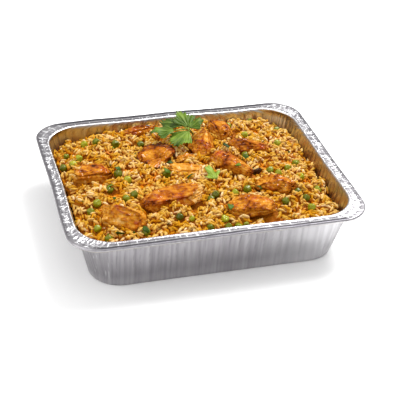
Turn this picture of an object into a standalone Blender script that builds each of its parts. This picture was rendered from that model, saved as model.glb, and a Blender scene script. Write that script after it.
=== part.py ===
"""Foil tray meal: a half-size aluminium tray of fried rice with chicken, peas and a herb sprig.

Units are metres and +Z is up. The origin is on the table under the middle of the tray. X runs
along the tray's long side, and -Y is its front.
"""

import math

import bmesh
import bpy
import numpy as np
from mathutils import Euler, Matrix, Vector

MM = 0.001

# Tray: a drawn foil pan with a flat flange, a rolled edge and fluted walls.
RIM_HALF = Vector((162.0, 132.0)) * MM  # outer edge of the rolled bead
RIM_CORNER = 34.0 * MM
RIM_TOP = 63.0 * MM
FLANGE_WIDTH = 12.5 * MM
LIP_CORNER = 39.5 * MM  # the flange is wider in its corners
WALL_CORNER = 24.0 * MM  # under the lip, where the pleats of the corners stand out
BASE_HALF = Vector((134.5, 110.5)) * MM  # where the flat base meets its rounded edge
BASE_CORNER = 31.0 * MM
BASE_EDGE = 4.0 * MM  # height of the rounded edge
FOOT_SPREAD = 1.5 * MM  # how far the rounded edge reaches out
EDGE_MIDDLE = (0.7, 0.35)  # shares of its reach and its height at the rounded edge's middle row
WALL_FOOT = 6.4 * MM  # height of the wall's lowest row
BEAD_WIDTH = 2.2 * MM
BEAD_DROP = 3.6 * MM
FOIL = 0.8 * MM  # the sheet with its folds and beads, taken as one thickness
FLUTE_PITCH = 11.5 * MM
FLUTE_DEPTH = 0.9 * MM
CORNER_STEPS = 6

# Rice: heaped in the middle, and lower along the right and in three of the corners.
GAP = 0.35 * MM  # clearance between pieces that touch
RICE_EDGE = 50.5 * MM  # mean height where the rice meets the wall
RICE_CROWN = 61.0 * MM
RICE_FALL = Vector((2.5, -0.5)) * MM  # how much lower the right and the back edges are
RICE_SIDES = Vector((-3.0, 3.0)) * MM  # added along the short sides, and along the long ones
RICE_TWIST = 3.5 * MM  # added at the back right and front left, taken at the other corners
CORNER_DIP = 8.5 * MM
RICE_RIPPLE = 0.8 * MM
RIPPLE_LENGTHS = np.array((9.0, 11.0, 23.0)) * MM
RICE_SHOULDER = 4.5  # the greater, the flatter the middle and the steeper the slope at the wall
RICE_RINGS = 8
RING_CROWDING = 1.15  # the greater, the closer the rings lie near the wall
RICE_COLUMNS = 48

# Chicken: name, centre (mm), lift of the centre above the rice (mm), length, width and
# height (mm), turn about Z, Y and X (degrees), bend (mm) and taper towards the far end.
CHICKEN = (
    ("back_left", (-41, 101), 1, (43, 13, 11), (12, -2, 0), 1, 0.1),
    ("folded", (-34, 36), 2, (44, 34, 18), (40, -4, -8), -3, 0.1),
    ("left", (-112, 15), 2, (43, 26, 19), (2, 0, 8), 0, 0.0),
    ("front_left", (-96, -74), 3, (47, 30, 20), (-18, 4, 10), 0, 0.1),
    ("long_strip", (-37, -53), 2, (66, 24, 19), (1, -4, 6), 3, 0.3),
    ("small_chip", (-4, 26), 1, (22, 9, 8), (12, 0, 0), 0, 0.0),
    ("flaked", (-8, 3), 0, (36, 22, 9), (-10, 0, 0), 0, 0.0),
    ("pointed", (24, 50), 3, (40, 28, 21), (66, -6, 0), 0, -0.3),
    ("back_middle", (52, 78), 2, (37, 21, 18), (-70, 0, 0), 0, 0.1),
    ("centre_right", (42, 0), 3, (52, 26, 20), (-46, 4, 0), 2, -0.1),
    ("back_right", (74, 36), 2, (42, 19, 16), (-16, 2, 0), 2, -0.1),
    ("right_knobbly", (79, -48), 2, (39, 22, 17), (-14, 0, 0), 0, 0.0),
    ("front_knobbly", (41, -83), 2, (49, 28, 19), (-20, 0, 0), 0, 0.0),
    ("charred_bit", (68.5, -15.5), 1, (12, 6, 5), (20, 0, 0), 0, 0.0),
)
MORSEL_RINGS = 6
MORSEL_SIDES = 10
MORSEL_SQUARENESS = 0.75  # 1 is an ellipsoid, and less is boxier
LUMP = 0.07

# Peas that lie alone (mm), and the first of two that touch with the direction to the second.
SINGLE_PEAS = (
    (-108, 88), (-94, 86), (-74, 75), (-46, 67), (-120, 56), (-85, 8), (-77, -4), (-100, -18),
    (-127, -51), (-118, -39), (-126, -82), (-118, -100), (-79, -101), (-39, -84), (-12, -107),
    (7, -96), (31, -54), (46, -50), (-32, -2), (107, -11), (121, 1), (115, -31), (128, -52),
    (81, -77), (108, -87), (80, 66), (112, 42), (127, 85), (67, 92), (65, 18),
)
PEA_PAIRS = (
    ((-139, 47), 0), ((-87, -41), 24), ((8, -107), 0), ((2, -60), 45), ((84, -15), -50),
    ((101, -61), -60),
)
PEA_RADIUS = 5.0 * MM
PEA_LIFT = 1.0 * MM  # height of a pea's centre above the rice

# Herbs: where the sprig's leaflets meet, then each leaflet's base from there (mm), the turn
# and the rise of its midrib (degrees), its length (mm) and half its spread (degrees).
SPRIG_JOINT = Vector((11.0, 58.0, 79.0)) * MM
SPRIG_FOOT = Vector((17.0, 68.0)) * MM  # where the main stem meets the rice
SPRIG_LEAFLETS = (
    ((-16, -2, 1), 165, 2, 30, 46),
    ((-4, 7, 0), 139, 5, 31, 36),
    ((1, 3, 0), 105, 24, 31, 40),
    ((2, 1, 0), 15, 34, 18, 52),
    ((0, -4, 0), -146, -6, 31, 44),
)
LONE_LEAF_BASE = Vector((21.0, -16.0)) * MM
LONE_LEAFLET = (118, 30, 18, 40)
LEAF_COLUMNS = 12
LEAF_ROWS = 2
LEAF_LOBES = 2.0  # in each half of a leaflet
LOBE_DEPTH = 0.08
SIDE_LOSS = 0.35  # how much shorter a leaflet is at its sides than along its midrib
SIDE_LIFT = 0.06  # how far its sides rise and its tip droops, as shares of its length
TIP_DROOP = 0.12
LEAF_THICKNESS = 0.7 * MM
STEM_RADIUS = 0.8 * MM
STEM_SIDES = 6
STEM_OVERLAP = 3.0 * MM  # how far a stem runs into its leaflet
KNUCKLE_RADIUS = 1.3 * MM  # the swelling where the stems meet

# Colour, roughness and metallic value of each material.
FINISHES = {
    "foil": ((0.78, 0.78, 0.80), 0.28, 1.0),
    "rice": ((0.80, 0.55, 0.24), 0.55, 0.0),
    "chicken": ((0.62, 0.28, 0.08), 0.40, 0.0),
    "pea": ((0.16, 0.34, 0.04), 0.35, 0.0),
    "herb": ((0.10, 0.27, 0.04), 0.45, 0.0),
}


def clear_scene():
    for item in list(bpy.data.objects):
        bpy.data.objects.remove(item, do_unlink=True)


def new_collection(name):
    collection = bpy.data.collections.new(name)
    bpy.context.scene.collection.children.link(collection)
    return collection


def make_material(name):
    colour, roughness, metallic = FINISHES[name]
    material = bpy.data.materials.new(name)
    material.use_nodes = True
    shader = material.node_tree.nodes["Principled BSDF"]
    shader.inputs["Base Color"].default_value = (*colour, 1.0)
    shader.inputs["Roughness"].default_value = roughness
    shader.inputs["Metallic"].default_value = metallic
    return material


def add_object(name, shape, collection, material=None):
    """Puts a bmesh into a new object, shaded smooth with its true edges kept."""
    mesh = bpy.data.meshes.new(name)
    bmesh.ops.recalc_face_normals(shape, faces=shape.faces)
    shape.to_mesh(mesh)
    shape.free()
    mesh.shade_smooth()
    mesh.set_sharp_from_angle(angle=math.radians(40))
    item = bpy.data.objects.new(name, mesh)
    if material:
        mesh.materials.append(material)
    collection.objects.link(item)
    return item


def grid_shape(points, closed_rows=True):
    """Joins rows of points with quads. Closed rows run on from their last point to their first."""
    shape = bmesh.new()
    rows = [[shape.verts.new(point) for point in row] for row in points]
    columns = len(rows[0])
    last = columns if closed_rows else columns - 1
    for low, high in zip(rows, rows[1:]):
        for i in range(last):
            j = (i + 1) % columns
            shape.faces.new((low[i], low[j], high[j], high[i]))
    return shape, rows


def close_with_point(shape, ring, point):
    """Closes a ring with a fan of triangles to one point."""
    tip = shape.verts.new(point)
    for i, corner in enumerate(ring):
        shape.faces.new((corner, ring[(i + 1) % len(ring)], tip))


def at_height(points, height):
    return np.column_stack([points, np.full(len(points), height)])


def rounded_rectangle(half, corner, straight_steps):
    """Points and outward normals round a rounded rectangle, starting at the left of the front.

    Each corner is an arc of CORNER_STEPS, and straight_steps gives how many steps each of the
    long and the short sides takes. Every outline made with the same steps has matching points.
    """
    points = []
    normals = []
    for side in range(4):
        turn = side * math.pi / 2
        outward = np.array((math.sin(turn), -math.cos(turn)))
        along = np.array((math.cos(turn), math.sin(turn)))
        reach = half[side % 2] - corner
        depth = half[1 - side % 2]
        steps = straight_steps[side % 2]
        for i in range(steps):
            points.append(outward * depth + along * reach * (2 * i / steps - 1))
            normals.append(outward)
        centre = outward * (depth - corner) + along * reach
        for i in range(CORNER_STEPS):
            angle = math.pi / 2 * i / CORNER_STEPS
            normal = outward * math.cos(angle) + along * math.sin(angle)
            points.append(centre + normal * corner)
            normals.append(normal)
    return np.array(points), np.array(normals)


def flute_steps():
    """Two steps for each flute, crease to crown, on the long and on the short sides."""
    straight = [2 * (half - FLANGE_WIDTH - LIP_CORNER) for half in RIM_HALF]
    return [2 * round(length / FLUTE_PITCH) for length in straight]


def flute_wave(steps):
    """+1 on a flute's crown and -1 in its crease along the sides, and 0 round the corners."""
    wave = []
    for side in range(4):
        count = steps[side % 2]
        for i in range(count):
            plain = i < 1 or i > count - 2
            wave.append(0.0 if plain else (1.0 if i % 2 else -1.0))
        wave += [0.0] * CORNER_STEPS
    return np.array(wave)


def tray_ring(half, corner, height, flute=0.0):
    steps = flute_steps()
    points, normals = rounded_rectangle(half, corner, steps)
    return at_height(points + normals * (flute_wave(steps) * flute)[:, None], height)


def wall_size(height):
    """Half sizes and corner radius of the wall's outer skin at a height above the table.

    The corners grow sharper upwards, and only the lip above them is round again.
    """
    lip = RIM_HALF - Vector((FLANGE_WIDTH, FLANGE_WIDTH))
    foot = BASE_HALF + Vector((FOOT_SPREAD, FOOT_SPREAD))
    foot_corner = BASE_CORNER + FOOT_SPREAD
    share = (height - BASE_EDGE) / (RIM_TOP - BASE_EDGE)
    return foot.lerp(lip, share), foot_corner + (WALL_CORNER - foot_corner) * share


def make_tray(collection, material):
    """The foil's under skin, from the base up the wall, out along the flange and down the bead."""
    under = RIM_TOP - FOIL
    edge = RIM_HALF - Vector((FOIL, FOIL))
    bead = RIM_HALF - Vector((BEAD_WIDTH, BEAD_WIDTH))
    lip, _ = wall_size(RIM_TOP)
    spread, rise = EDGE_MIDDLE[0] * FOOT_SPREAD, EDGE_MIDDLE[1] * BASE_EDGE
    rows = [
        tray_ring(BASE_HALF, BASE_CORNER, 0.0),
        tray_ring(BASE_HALF + Vector((spread, spread)), BASE_CORNER + spread, rise),
    ]
    for height, flute in ((WALL_FOOT, 0.5), (under - BASE_EDGE, 1.0)):
        rows.append(tray_ring(*wall_size(height), height, flute * FLUTE_DEPTH))
    rows += [
        tray_ring(lip, LIP_CORNER, under),
        tray_ring(bead, RIM_CORNER - BEAD_WIDTH, under - 0.5 * FOIL),
        tray_ring(edge, RIM_CORNER - FOIL, under - 2 * FOIL),
        tray_ring(edge, RIM_CORNER - FOIL, RIM_TOP - BEAD_DROP),
    ]
    shape, rings = grid_shape(rows)
    shape.faces.new(rings[0])
    tray = add_object("tray", shape, collection, material)
    sheet = tray.modifiers.new("foil", "SOLIDIFY")
    sheet.thickness = FOIL
    sheet.offset = 1.0
    sheet.use_even_offset = True


def rice_height(x, y):
    """Height of the rice: an edge that differs from side to side, crowned inside, with ripples.

    The edge is a sum of the place's shares of the half sizes, their squares and their products.
    """
    half, _ = wall_size(RICE_EDGE)
    across = x / half.x
    deep = y / half.y
    out = min(1.0, (abs(across) ** 5 + abs(deep) ** 5) ** 0.2)
    edge = RICE_EDGE - RICE_FALL.x * across - RICE_FALL.y * deep + RICE_TWIST * across * deep
    edge += RICE_SIDES.x * across**2 + RICE_SIDES.y * deep**2 - CORNER_DIP * (across * deep) ** 2
    fine_x, fine_y, slow = RIPPLE_LENGTHS
    ripple = math.sin(x / fine_x) * math.cos(y / fine_y) + math.sin((x - 2 * y) / slow)
    return edge + (RICE_CROWN - edge) * (1 - out**RICE_SHOULDER) + RICE_RIPPLE * ripple


def rice_outline(height, inset):
    """The rice's outline at a height: the wall's, drawn in by an inset."""
    half, corner = wall_size(height)
    long_steps = RICE_COLUMNS // 4 - CORNER_STEPS // 2
    short_steps = RICE_COLUMNS // 4 - CORNER_STEPS
    shrink = Vector((inset, inset))
    return rounded_rectangle(half - shrink, corner - inset, (long_steps, short_steps))[0]


def make_rice(collection, material):
    """A solid heap that fills the tray up to its uneven top, clear of the foil."""
    inset = FOIL + FLUTE_DEPTH + GAP
    foot = BASE_EDGE + FOOT_SPREAD
    rim_heights = [rice_height(x, y) for x, y in rice_outline(RICE_EDGE, inset)]
    rim = np.array([rice_outline(height, inset)[i] for i, height in enumerate(rim_heights)])
    rows = [
        at_height(rice_outline(foot, inset + FOOT_SPREAD + GAP), FOIL + GAP),
        at_height(rice_outline(foot, inset), foot),
    ]
    for ring in range(RICE_RINGS):
        points = rim * (1 - (ring / RICE_RINGS) ** RING_CROWDING)
        rows.append([(x, y, rice_height(x, y)) for x, y in points])
    shape, rings = grid_shape(rows)
    shape.faces.new(rings[0])
    close_with_point(shape, rings[-1], (0, 0, rice_height(0, 0)))
    return add_object("rice", shape, collection, material)


def morsel_points(size, bend, taper, seed, swell):
    """Rings of a lumpy, rounded block along X, and the point at each of its ends.

    A superellipsoid gives the block, the taper narrows one end, the bend curves it sideways,
    and three slow waves from the seed make it lumpy. Swell grows it by a length all round.
    """

    def squared(value):
        return np.sign(value) * np.abs(value) ** MORSEL_SQUARENESS

    rings = np.linspace(0, math.pi, MORSEL_RINGS + 2)[1:-1, None]
    sides = np.linspace(0, 2 * math.pi, MORSEL_SIDES, endpoint=False)[None, :]
    x = squared(-np.cos(rings)) * np.ones_like(sides)
    y = squared(np.sin(rings)) * squared(np.cos(sides))
    z = squared(np.sin(rings)) * squared(np.sin(sides))
    phase = np.random.default_rng(seed).uniform(0, 2 * math.pi, 3)
    waves = np.sin(3.1 * x + phase[0])
    waves += np.sin(2.3 * y + 2 * x + phase[1])
    waves += np.sin(2.7 * z + phase[2])
    girth = (1 + LUMP * waves) * (1 + taper * x)
    half = np.array(size) * MM / 2 + swell
    bow = bend * MM * (x**2 - 0.4)
    points = np.stack([x * half[0], y * half[1] * girth + bow, z * half[2] * girth], axis=-1)
    end_bow = bend * MM * 0.6
    return points, [(-half[0], end_bow, 0), (half[0], end_bow, 0)]


def make_morsel(name, piece, seed, collection, material=None, swell=0.0):
    """One piece of chicken, or with a swell the cutter that makes its bed."""
    _, centre, lift, size, turn, bend, taper = piece
    points, ends = morsel_points(size, bend, taper, seed, swell)
    shape, rings = grid_shape(points)
    close_with_point(shape, rings[0], ends[0])
    close_with_point(shape, rings[-1], ends[1])
    # The same diagonals in the piece and its cutter keep the gap between them even.
    bmesh.ops.triangulate(shape, faces=shape.faces, quad_method="FIXED")
    item = add_object(name, shape, collection, material)
    x, y = Vector(centre) * MM
    item.location = (x, y, rice_height(x, y) + lift * MM)
    yaw, pitch, roll = (math.radians(angle) for angle in turn)
    item.rotation_euler = Euler((roll, pitch, yaw))


def pea_centres():
    for centre in SINGLE_PEAS:
        yield Vector(centre) * MM
    for start, heading in PEA_PAIRS:
        angle = math.radians(heading)
        yield Vector(start) * MM
        step = 2 * PEA_RADIUS + 3 * GAP
        yield Vector(start) * MM + Vector((math.cos(angle), math.sin(angle))) * step


def make_pea(name, x, y, collection, material=None, swell=0.0):
    """One pea, or with a swell the cutter that makes its bed."""
    shape = bmesh.new()
    bmesh.ops.create_icosphere(shape, subdivisions=1, radius=PEA_RADIUS + swell)
    item = add_object(name, shape, collection, material)
    item.location = (x, y, rice_height(x, y) + PEA_LIFT)


def leaflet_shape(turn, rise, length, spread):
    """A lobed fan: rays from the base, each as long as the outline is at its angle."""
    share = np.linspace(-1, 1, LEAF_COLUMNS + 1)
    angle = share * math.radians(spread)
    lobes = 1 - LOBE_DEPTH * (1 - np.cos(2 * math.pi * LEAF_LOBES * share))
    reach = length * MM * (1 - SIDE_LOSS * share**2) * lobes
    rows = []
    for row in range(1, LEAF_ROWS + 1):
        out = row / LEAF_ROWS
        x = out * reach * np.cos(angle)
        y = out * reach * np.sin(angle)
        droop = length * MM * (SIDE_LIFT * share**2 * out - TIP_DROOP * out**2)
        rows.append(np.column_stack([x, y, droop]))
    shape, rings = grid_shape(rows, closed_rows=False)
    base = shape.verts.new((0, 0, 0))
    for left, right in zip(rings[0], rings[0][1:]):
        shape.faces.new((base, left, right))
    place = Euler((0, -math.radians(rise), math.radians(turn))).to_matrix()
    bmesh.ops.rotate(shape, matrix=place, verts=shape.verts)
    return shape


def make_leaflet(name, base, leaflet, collection, material=None):
    """A leaflet of even thickness with its base at a point."""
    item = add_object(name, leaflet_shape(*leaflet), collection, material)
    item.location = base
    blade = item.modifiers.new("blade", "SOLIDIFY")
    blade.thickness = LEAF_THICKNESS
    blade.offset = 0.0


def stem_shape(start, end):
    """A straight round stem between two points."""
    shape = bmesh.new()
    run = end - start
    bmesh.ops.create_cone(
        shape,
        cap_ends=True,
        segments=STEM_SIDES,
        radius1=STEM_RADIUS,
        radius2=STEM_RADIUS,
        depth=run.length + STEM_RADIUS,
    )
    turn = run.to_track_quat("Z", "Y").to_matrix().to_4x4()
    place = Matrix.Translation((start + end) / 2) @ turn
    bmesh.ops.transform(shape, matrix=place, verts=shape.verts)
    return shape


def make_sprig(collection, material):
    """Leaflets on short stems from a knuckle, and a main stem that reaches down to the rice."""
    foot = Vector((*SPRIG_FOOT, rice_height(*SPRIG_FOOT) + 3 * GAP))
    sprig = add_object("herb_sprig", stem_shape(foot, SPRIG_JOINT), collection, material)
    pieces = new_collection("sprig_pieces")
    ball = bmesh.new()
    bmesh.ops.create_uvsphere(ball, u_segments=8, v_segments=6, radius=KNUCKLE_RADIUS)
    knuckle = add_object("knuckle", ball, pieces)
    knuckle.location = SPRIG_JOINT
    for number, (offset, *leaflet) in enumerate(SPRIG_LEAFLETS, 1):
        base = SPRIG_JOINT + Vector(offset) * MM
        make_leaflet(f"leaflet_{number}", base, leaflet, pieces)
        end = base + Vector(offset).normalized() * STEM_OVERLAP
        add_object(f"leaflet_stem_{number}", stem_shape(SPRIG_JOINT, end), pieces)
    combine(sprig, "UNION", pieces)


def combine(item, operation, pieces):
    """Joins a collection of pieces to the item, or cuts them from it, and hides them."""
    boolean = item.modifiers.new(operation.lower(), "BOOLEAN")
    boolean.operation = operation
    boolean.operand_type = "COLLECTION"
    boolean.collection = pieces
    boolean.solver = "EXACT"
    for piece in pieces.objects:
        piece.hide_render = True
        piece.display_type = "WIRE"


def main():
    clear_scene()
    parts = new_collection("foil_tray_meal")
    cutters = new_collection("cutters")
    materials = {name: make_material(name) for name in FINISHES}
    make_tray(parts, materials["foil"])
    rice = make_rice(parts, materials["rice"])
    for seed, piece in enumerate(CHICKEN):
        make_morsel("chicken_" + piece[0], piece, seed, parts, materials["chicken"])
        make_morsel("bed_" + piece[0], piece, seed, cutters, swell=GAP)
    for number, (x, y) in enumerate(pea_centres(), 1):
        make_pea(f"pea_{number:02d}", x, y, parts, materials["pea"])
        make_pea(f"bed_pea_{number:02d}", x, y, cutters, swell=1.5 * GAP)
    combine(rice, "DIFFERENCE", cutters)
    make_sprig(parts, materials["herb"])
    lone_base = Vector((*LONE_LEAF_BASE, rice_height(*LONE_LEAF_BASE) + 2 * GAP))
    make_leaflet("herb_leaf", lone_base, LONE_LEAFLET, parts, materials["herb"])


main()
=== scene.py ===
"""Looks of the foil tray meal: crimped foil, fried rice grain by grain, browned chicken, peas, herbs."""

import math

import bpy
import numpy as np
from mathutils import Matrix, Vector


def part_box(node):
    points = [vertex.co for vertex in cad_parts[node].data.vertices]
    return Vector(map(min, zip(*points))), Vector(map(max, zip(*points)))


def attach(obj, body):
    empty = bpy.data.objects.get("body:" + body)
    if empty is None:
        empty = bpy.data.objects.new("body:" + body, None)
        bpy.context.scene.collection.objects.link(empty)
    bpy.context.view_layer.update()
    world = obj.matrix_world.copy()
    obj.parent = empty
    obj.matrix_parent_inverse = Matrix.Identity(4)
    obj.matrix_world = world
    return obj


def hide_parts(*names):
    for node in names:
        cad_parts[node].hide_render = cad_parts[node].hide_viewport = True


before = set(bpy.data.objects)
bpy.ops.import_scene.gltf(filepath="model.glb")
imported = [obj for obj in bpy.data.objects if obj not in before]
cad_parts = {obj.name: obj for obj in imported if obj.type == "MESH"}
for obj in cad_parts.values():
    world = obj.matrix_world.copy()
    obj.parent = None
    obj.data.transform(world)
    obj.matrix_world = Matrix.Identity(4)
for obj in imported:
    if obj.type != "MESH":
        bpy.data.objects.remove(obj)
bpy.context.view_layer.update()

MM = 0.001
TAU = 2 * math.pi

# The tray, from its solid: the rim's outer edge, and insets from that edge.
_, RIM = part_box("tray")
FLANGE = 12.5 * MM  # from the rim's edge to the lip over the wall
FOOT_INSET = Vector((26.0, 20.0)) * MM  # from the rim's edge to the wall's foot
FOOT_HEIGHT = 4.0 * MM
LIP_CORNER = 39.5 * MM
RIM_CORNER = 34.0 * MM
WALL_CORNER = 24.0 * MM  # under the lip, where the pleats of the corners stand out
FOOT_CORNER = 32.5 * MM
FOIL = 0.35 * MM
INSIDE = 1.6 * MM  # what lies in the tray keeps this far inside the wall's outer skin

# The heap of rice, as its solid has it: an edge that differs from side to side, crowned inside.
RICE_EDGE = RIM.z - 12.5 * MM
RICE_CROWN = RIM.z - 2.0 * MM
RICE_FALL = Vector((2.5, -0.5)) * MM
RICE_SIDES = Vector((-3.0, 3.0)) * MM
RICE_TWIST = 3.5 * MM
CORNER_DIP = 8.5 * MM
RICE_RIPPLE = 0.8 * MM
RICE_DEPTH = 3.0 * MM  # of the loose grains over the core
CORE_INSET = 2.8 * MM  # from the wall's outer skin, clear of its pleats
MOUND = 1.8 * MM  # height of the small mounds that the grains lie in
SINK = 1.6 * MM  # how far under the heap's top the grains fill to, as their own tops stand above that


# ---------------------------------------------------------------- shapes

def waves(points, length, seed, stretch=(1, 1, 1), count=24):
    """A smooth random field of about -1 to 1: sines of one wavelength, each in a random direction.

    A stretch above 1 draws the field out along that axis.
    """
    rng = np.random.default_rng(seed)
    ways = rng.normal(size=(count, 3))
    ways *= TAU / length / np.linalg.norm(ways, axis=1, keepdims=True) / np.array(stretch)
    phases = rng.uniform(0, TAU, count)
    return np.sin(points @ ways.T + phases).sum(-1) * (2 / count) ** 0.5


def smooth(low, high, value):
    """0 below low and 1 above high, with a smooth cubic step between."""
    share = np.clip((value - low) / (high - low), 0, 1)
    return share * share * (3 - 2 * share)


def grid_faces(rows, columns, wrap=True):
    """Quads between the points of a grid, numbered row by row. Wrap joins the last column to the first."""
    row = np.arange(rows - 1)[:, None] * columns
    column = np.arange(columns if wrap else columns - 1)[None, :]
    after = (column + 1) % columns
    corners = (row + column, row + after, row + columns + after, row + columns + column)
    return np.stack(corners, -1).reshape(-1, 4)


def fan_faces(ring, tip, outwards):
    """Triangles from each side of a ring of point numbers to one tip."""
    after = np.roll(ring, -1)
    sides = (ring, after) if outwards else (after, ring)
    return np.stack([*sides, np.full_like(ring, tip)], -1)


def closed_tube(rings, low_tip, high_tip):
    """Points and faces of a tube of rings (rows, columns, 3) with both ends closed to a point."""
    rows, columns, _ = rings.shape
    points = np.concatenate([rings.reshape(-1, 3), [low_tip], [high_tip]])
    first = np.arange(columns)
    last = first + (rows - 1) * columns
    faces = [
        grid_faces(rows, columns),
        fan_faces(first, rows * columns, False),
        fan_faces(last, rows * columns + 1, True),
    ]
    return points, faces


def ball(rings, sides):
    """Points and faces of a ball of radius 1: rings about its height, from its lowest point upwards."""
    down = np.linspace(0, math.pi, rings + 2)[1:-1, None]
    around = np.linspace(0, TAU, sides, endpoint=False)[None, :]
    grid = [np.sin(down) * np.cos(around), np.sin(down) * np.sin(around), -np.cos(down) + 0 * around]
    return closed_tube(np.stack(grid, -1), (0, 0, -1), (0, 0, 1))


def copies(points, faces, turns, places):
    """Joined copies of one shape: each point is turned by its copy's matrix, then moved to its place."""
    count = len(places)
    shape = np.broadcast_to(points, (count, *points.shape[-2:]))
    moved = np.einsum("nij,nkj->nki", turns, shape) + places[:, None, :]
    shift = np.arange(count)[:, None, None] * shape.shape[1]
    return moved.reshape(-1, 3), [(face[None] + shift).reshape(-1, face.shape[1]) for face in faces]


def turns_of(yaw, pitch, roll):
    """Matrices that roll about X, then pitch about Y (nose up), then yaw about Z. Angles are arrays."""
    cy, sy = np.cos(yaw), np.sin(yaw)
    cp, sp = np.cos(pitch), np.sin(pitch)
    cr, sr = np.cos(roll), np.sin(roll)
    rows = (
        (cy * cp, -cy * sp * sr - sy * cr, -cy * sp * cr + sy * sr),
        (sy * cp, -sy * sp * sr + cy * cr, -sy * sp * cr - cy * sr),
        (sp, cp * sr, cp * cr),
    )
    return np.moveaxis(np.array(rows), -1, 0)


def add_piece(name, points, faces, material, fields=None):
    """Puts arrays of points and of faces into a smooth mesh object, with a value for each point per field."""
    mesh = bpy.data.meshes.new(name)
    mesh.vertices.add(len(points))
    mesh.vertices.foreach_set("co", np.asarray(points, np.float32).ravel())
    corners = np.concatenate([face.ravel() for face in faces]).astype(np.int32)
    sizes = np.concatenate([np.full(len(face), face.shape[1]) for face in faces])
    mesh.loops.add(len(corners))
    mesh.loops.foreach_set("vertex_index", corners)
    mesh.polygons.add(len(sizes))
    mesh.polygons.foreach_set("loop_start", (np.cumsum(sizes) - sizes).astype(np.int32))
    mesh.polygons.foreach_set("use_smooth", np.ones(len(sizes), bool))
    mesh.update(calc_edges=True)
    mesh.validate()
    for field, values in (fields or {}).items():
        kind = ("FLOAT", "value") if np.ndim(values) == 1 else ("FLOAT_VECTOR", "vector")
        attribute = mesh.attributes.new(field, kind[0], "POINT")
        attribute.data.foreach_set(kind[1], np.asarray(values, np.float32).ravel())
    piece = bpy.data.objects.new(name, mesh)
    bpy.context.scene.collection.objects.link(piece)
    mesh.materials.append(material)
    return piece


def add_food(piece, slot, *nodes):
    """Rides the piece on the meal's one body, in place of its solids. The slot is not used."""
    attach(piece, "root")
    if nodes:
        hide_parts(*nodes)
    return piece


# ---------------------------------------------------------------- materials

class Wire:
    """A socket of a material's nodes. Arithmetic on it adds Math nodes."""

    def __init__(self, paint, socket):
        self.paint = paint
        self.socket = socket

    def math(self, operation, first, second=0.0):
        return self.paint.node("ShaderNodeMath", {"operation": operation}, {0: first, 1: second})

    def __add__(self, other):
        return self.math("ADD", self, other)

    __radd__ = __add__

    def __sub__(self, other):
        return self.math("SUBTRACT", self, other)

    def __rsub__(self, other):
        return self.math("SUBTRACT", other, self)

    def __mul__(self, other):
        return self.math("MULTIPLY", self, other)

    __rmul__ = __mul__

    def clamped(self):
        """The value kept between 0 and 1."""
        return self.math("MINIMUM", self.math("MAXIMUM", self, 0.0), 1.0)


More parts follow.
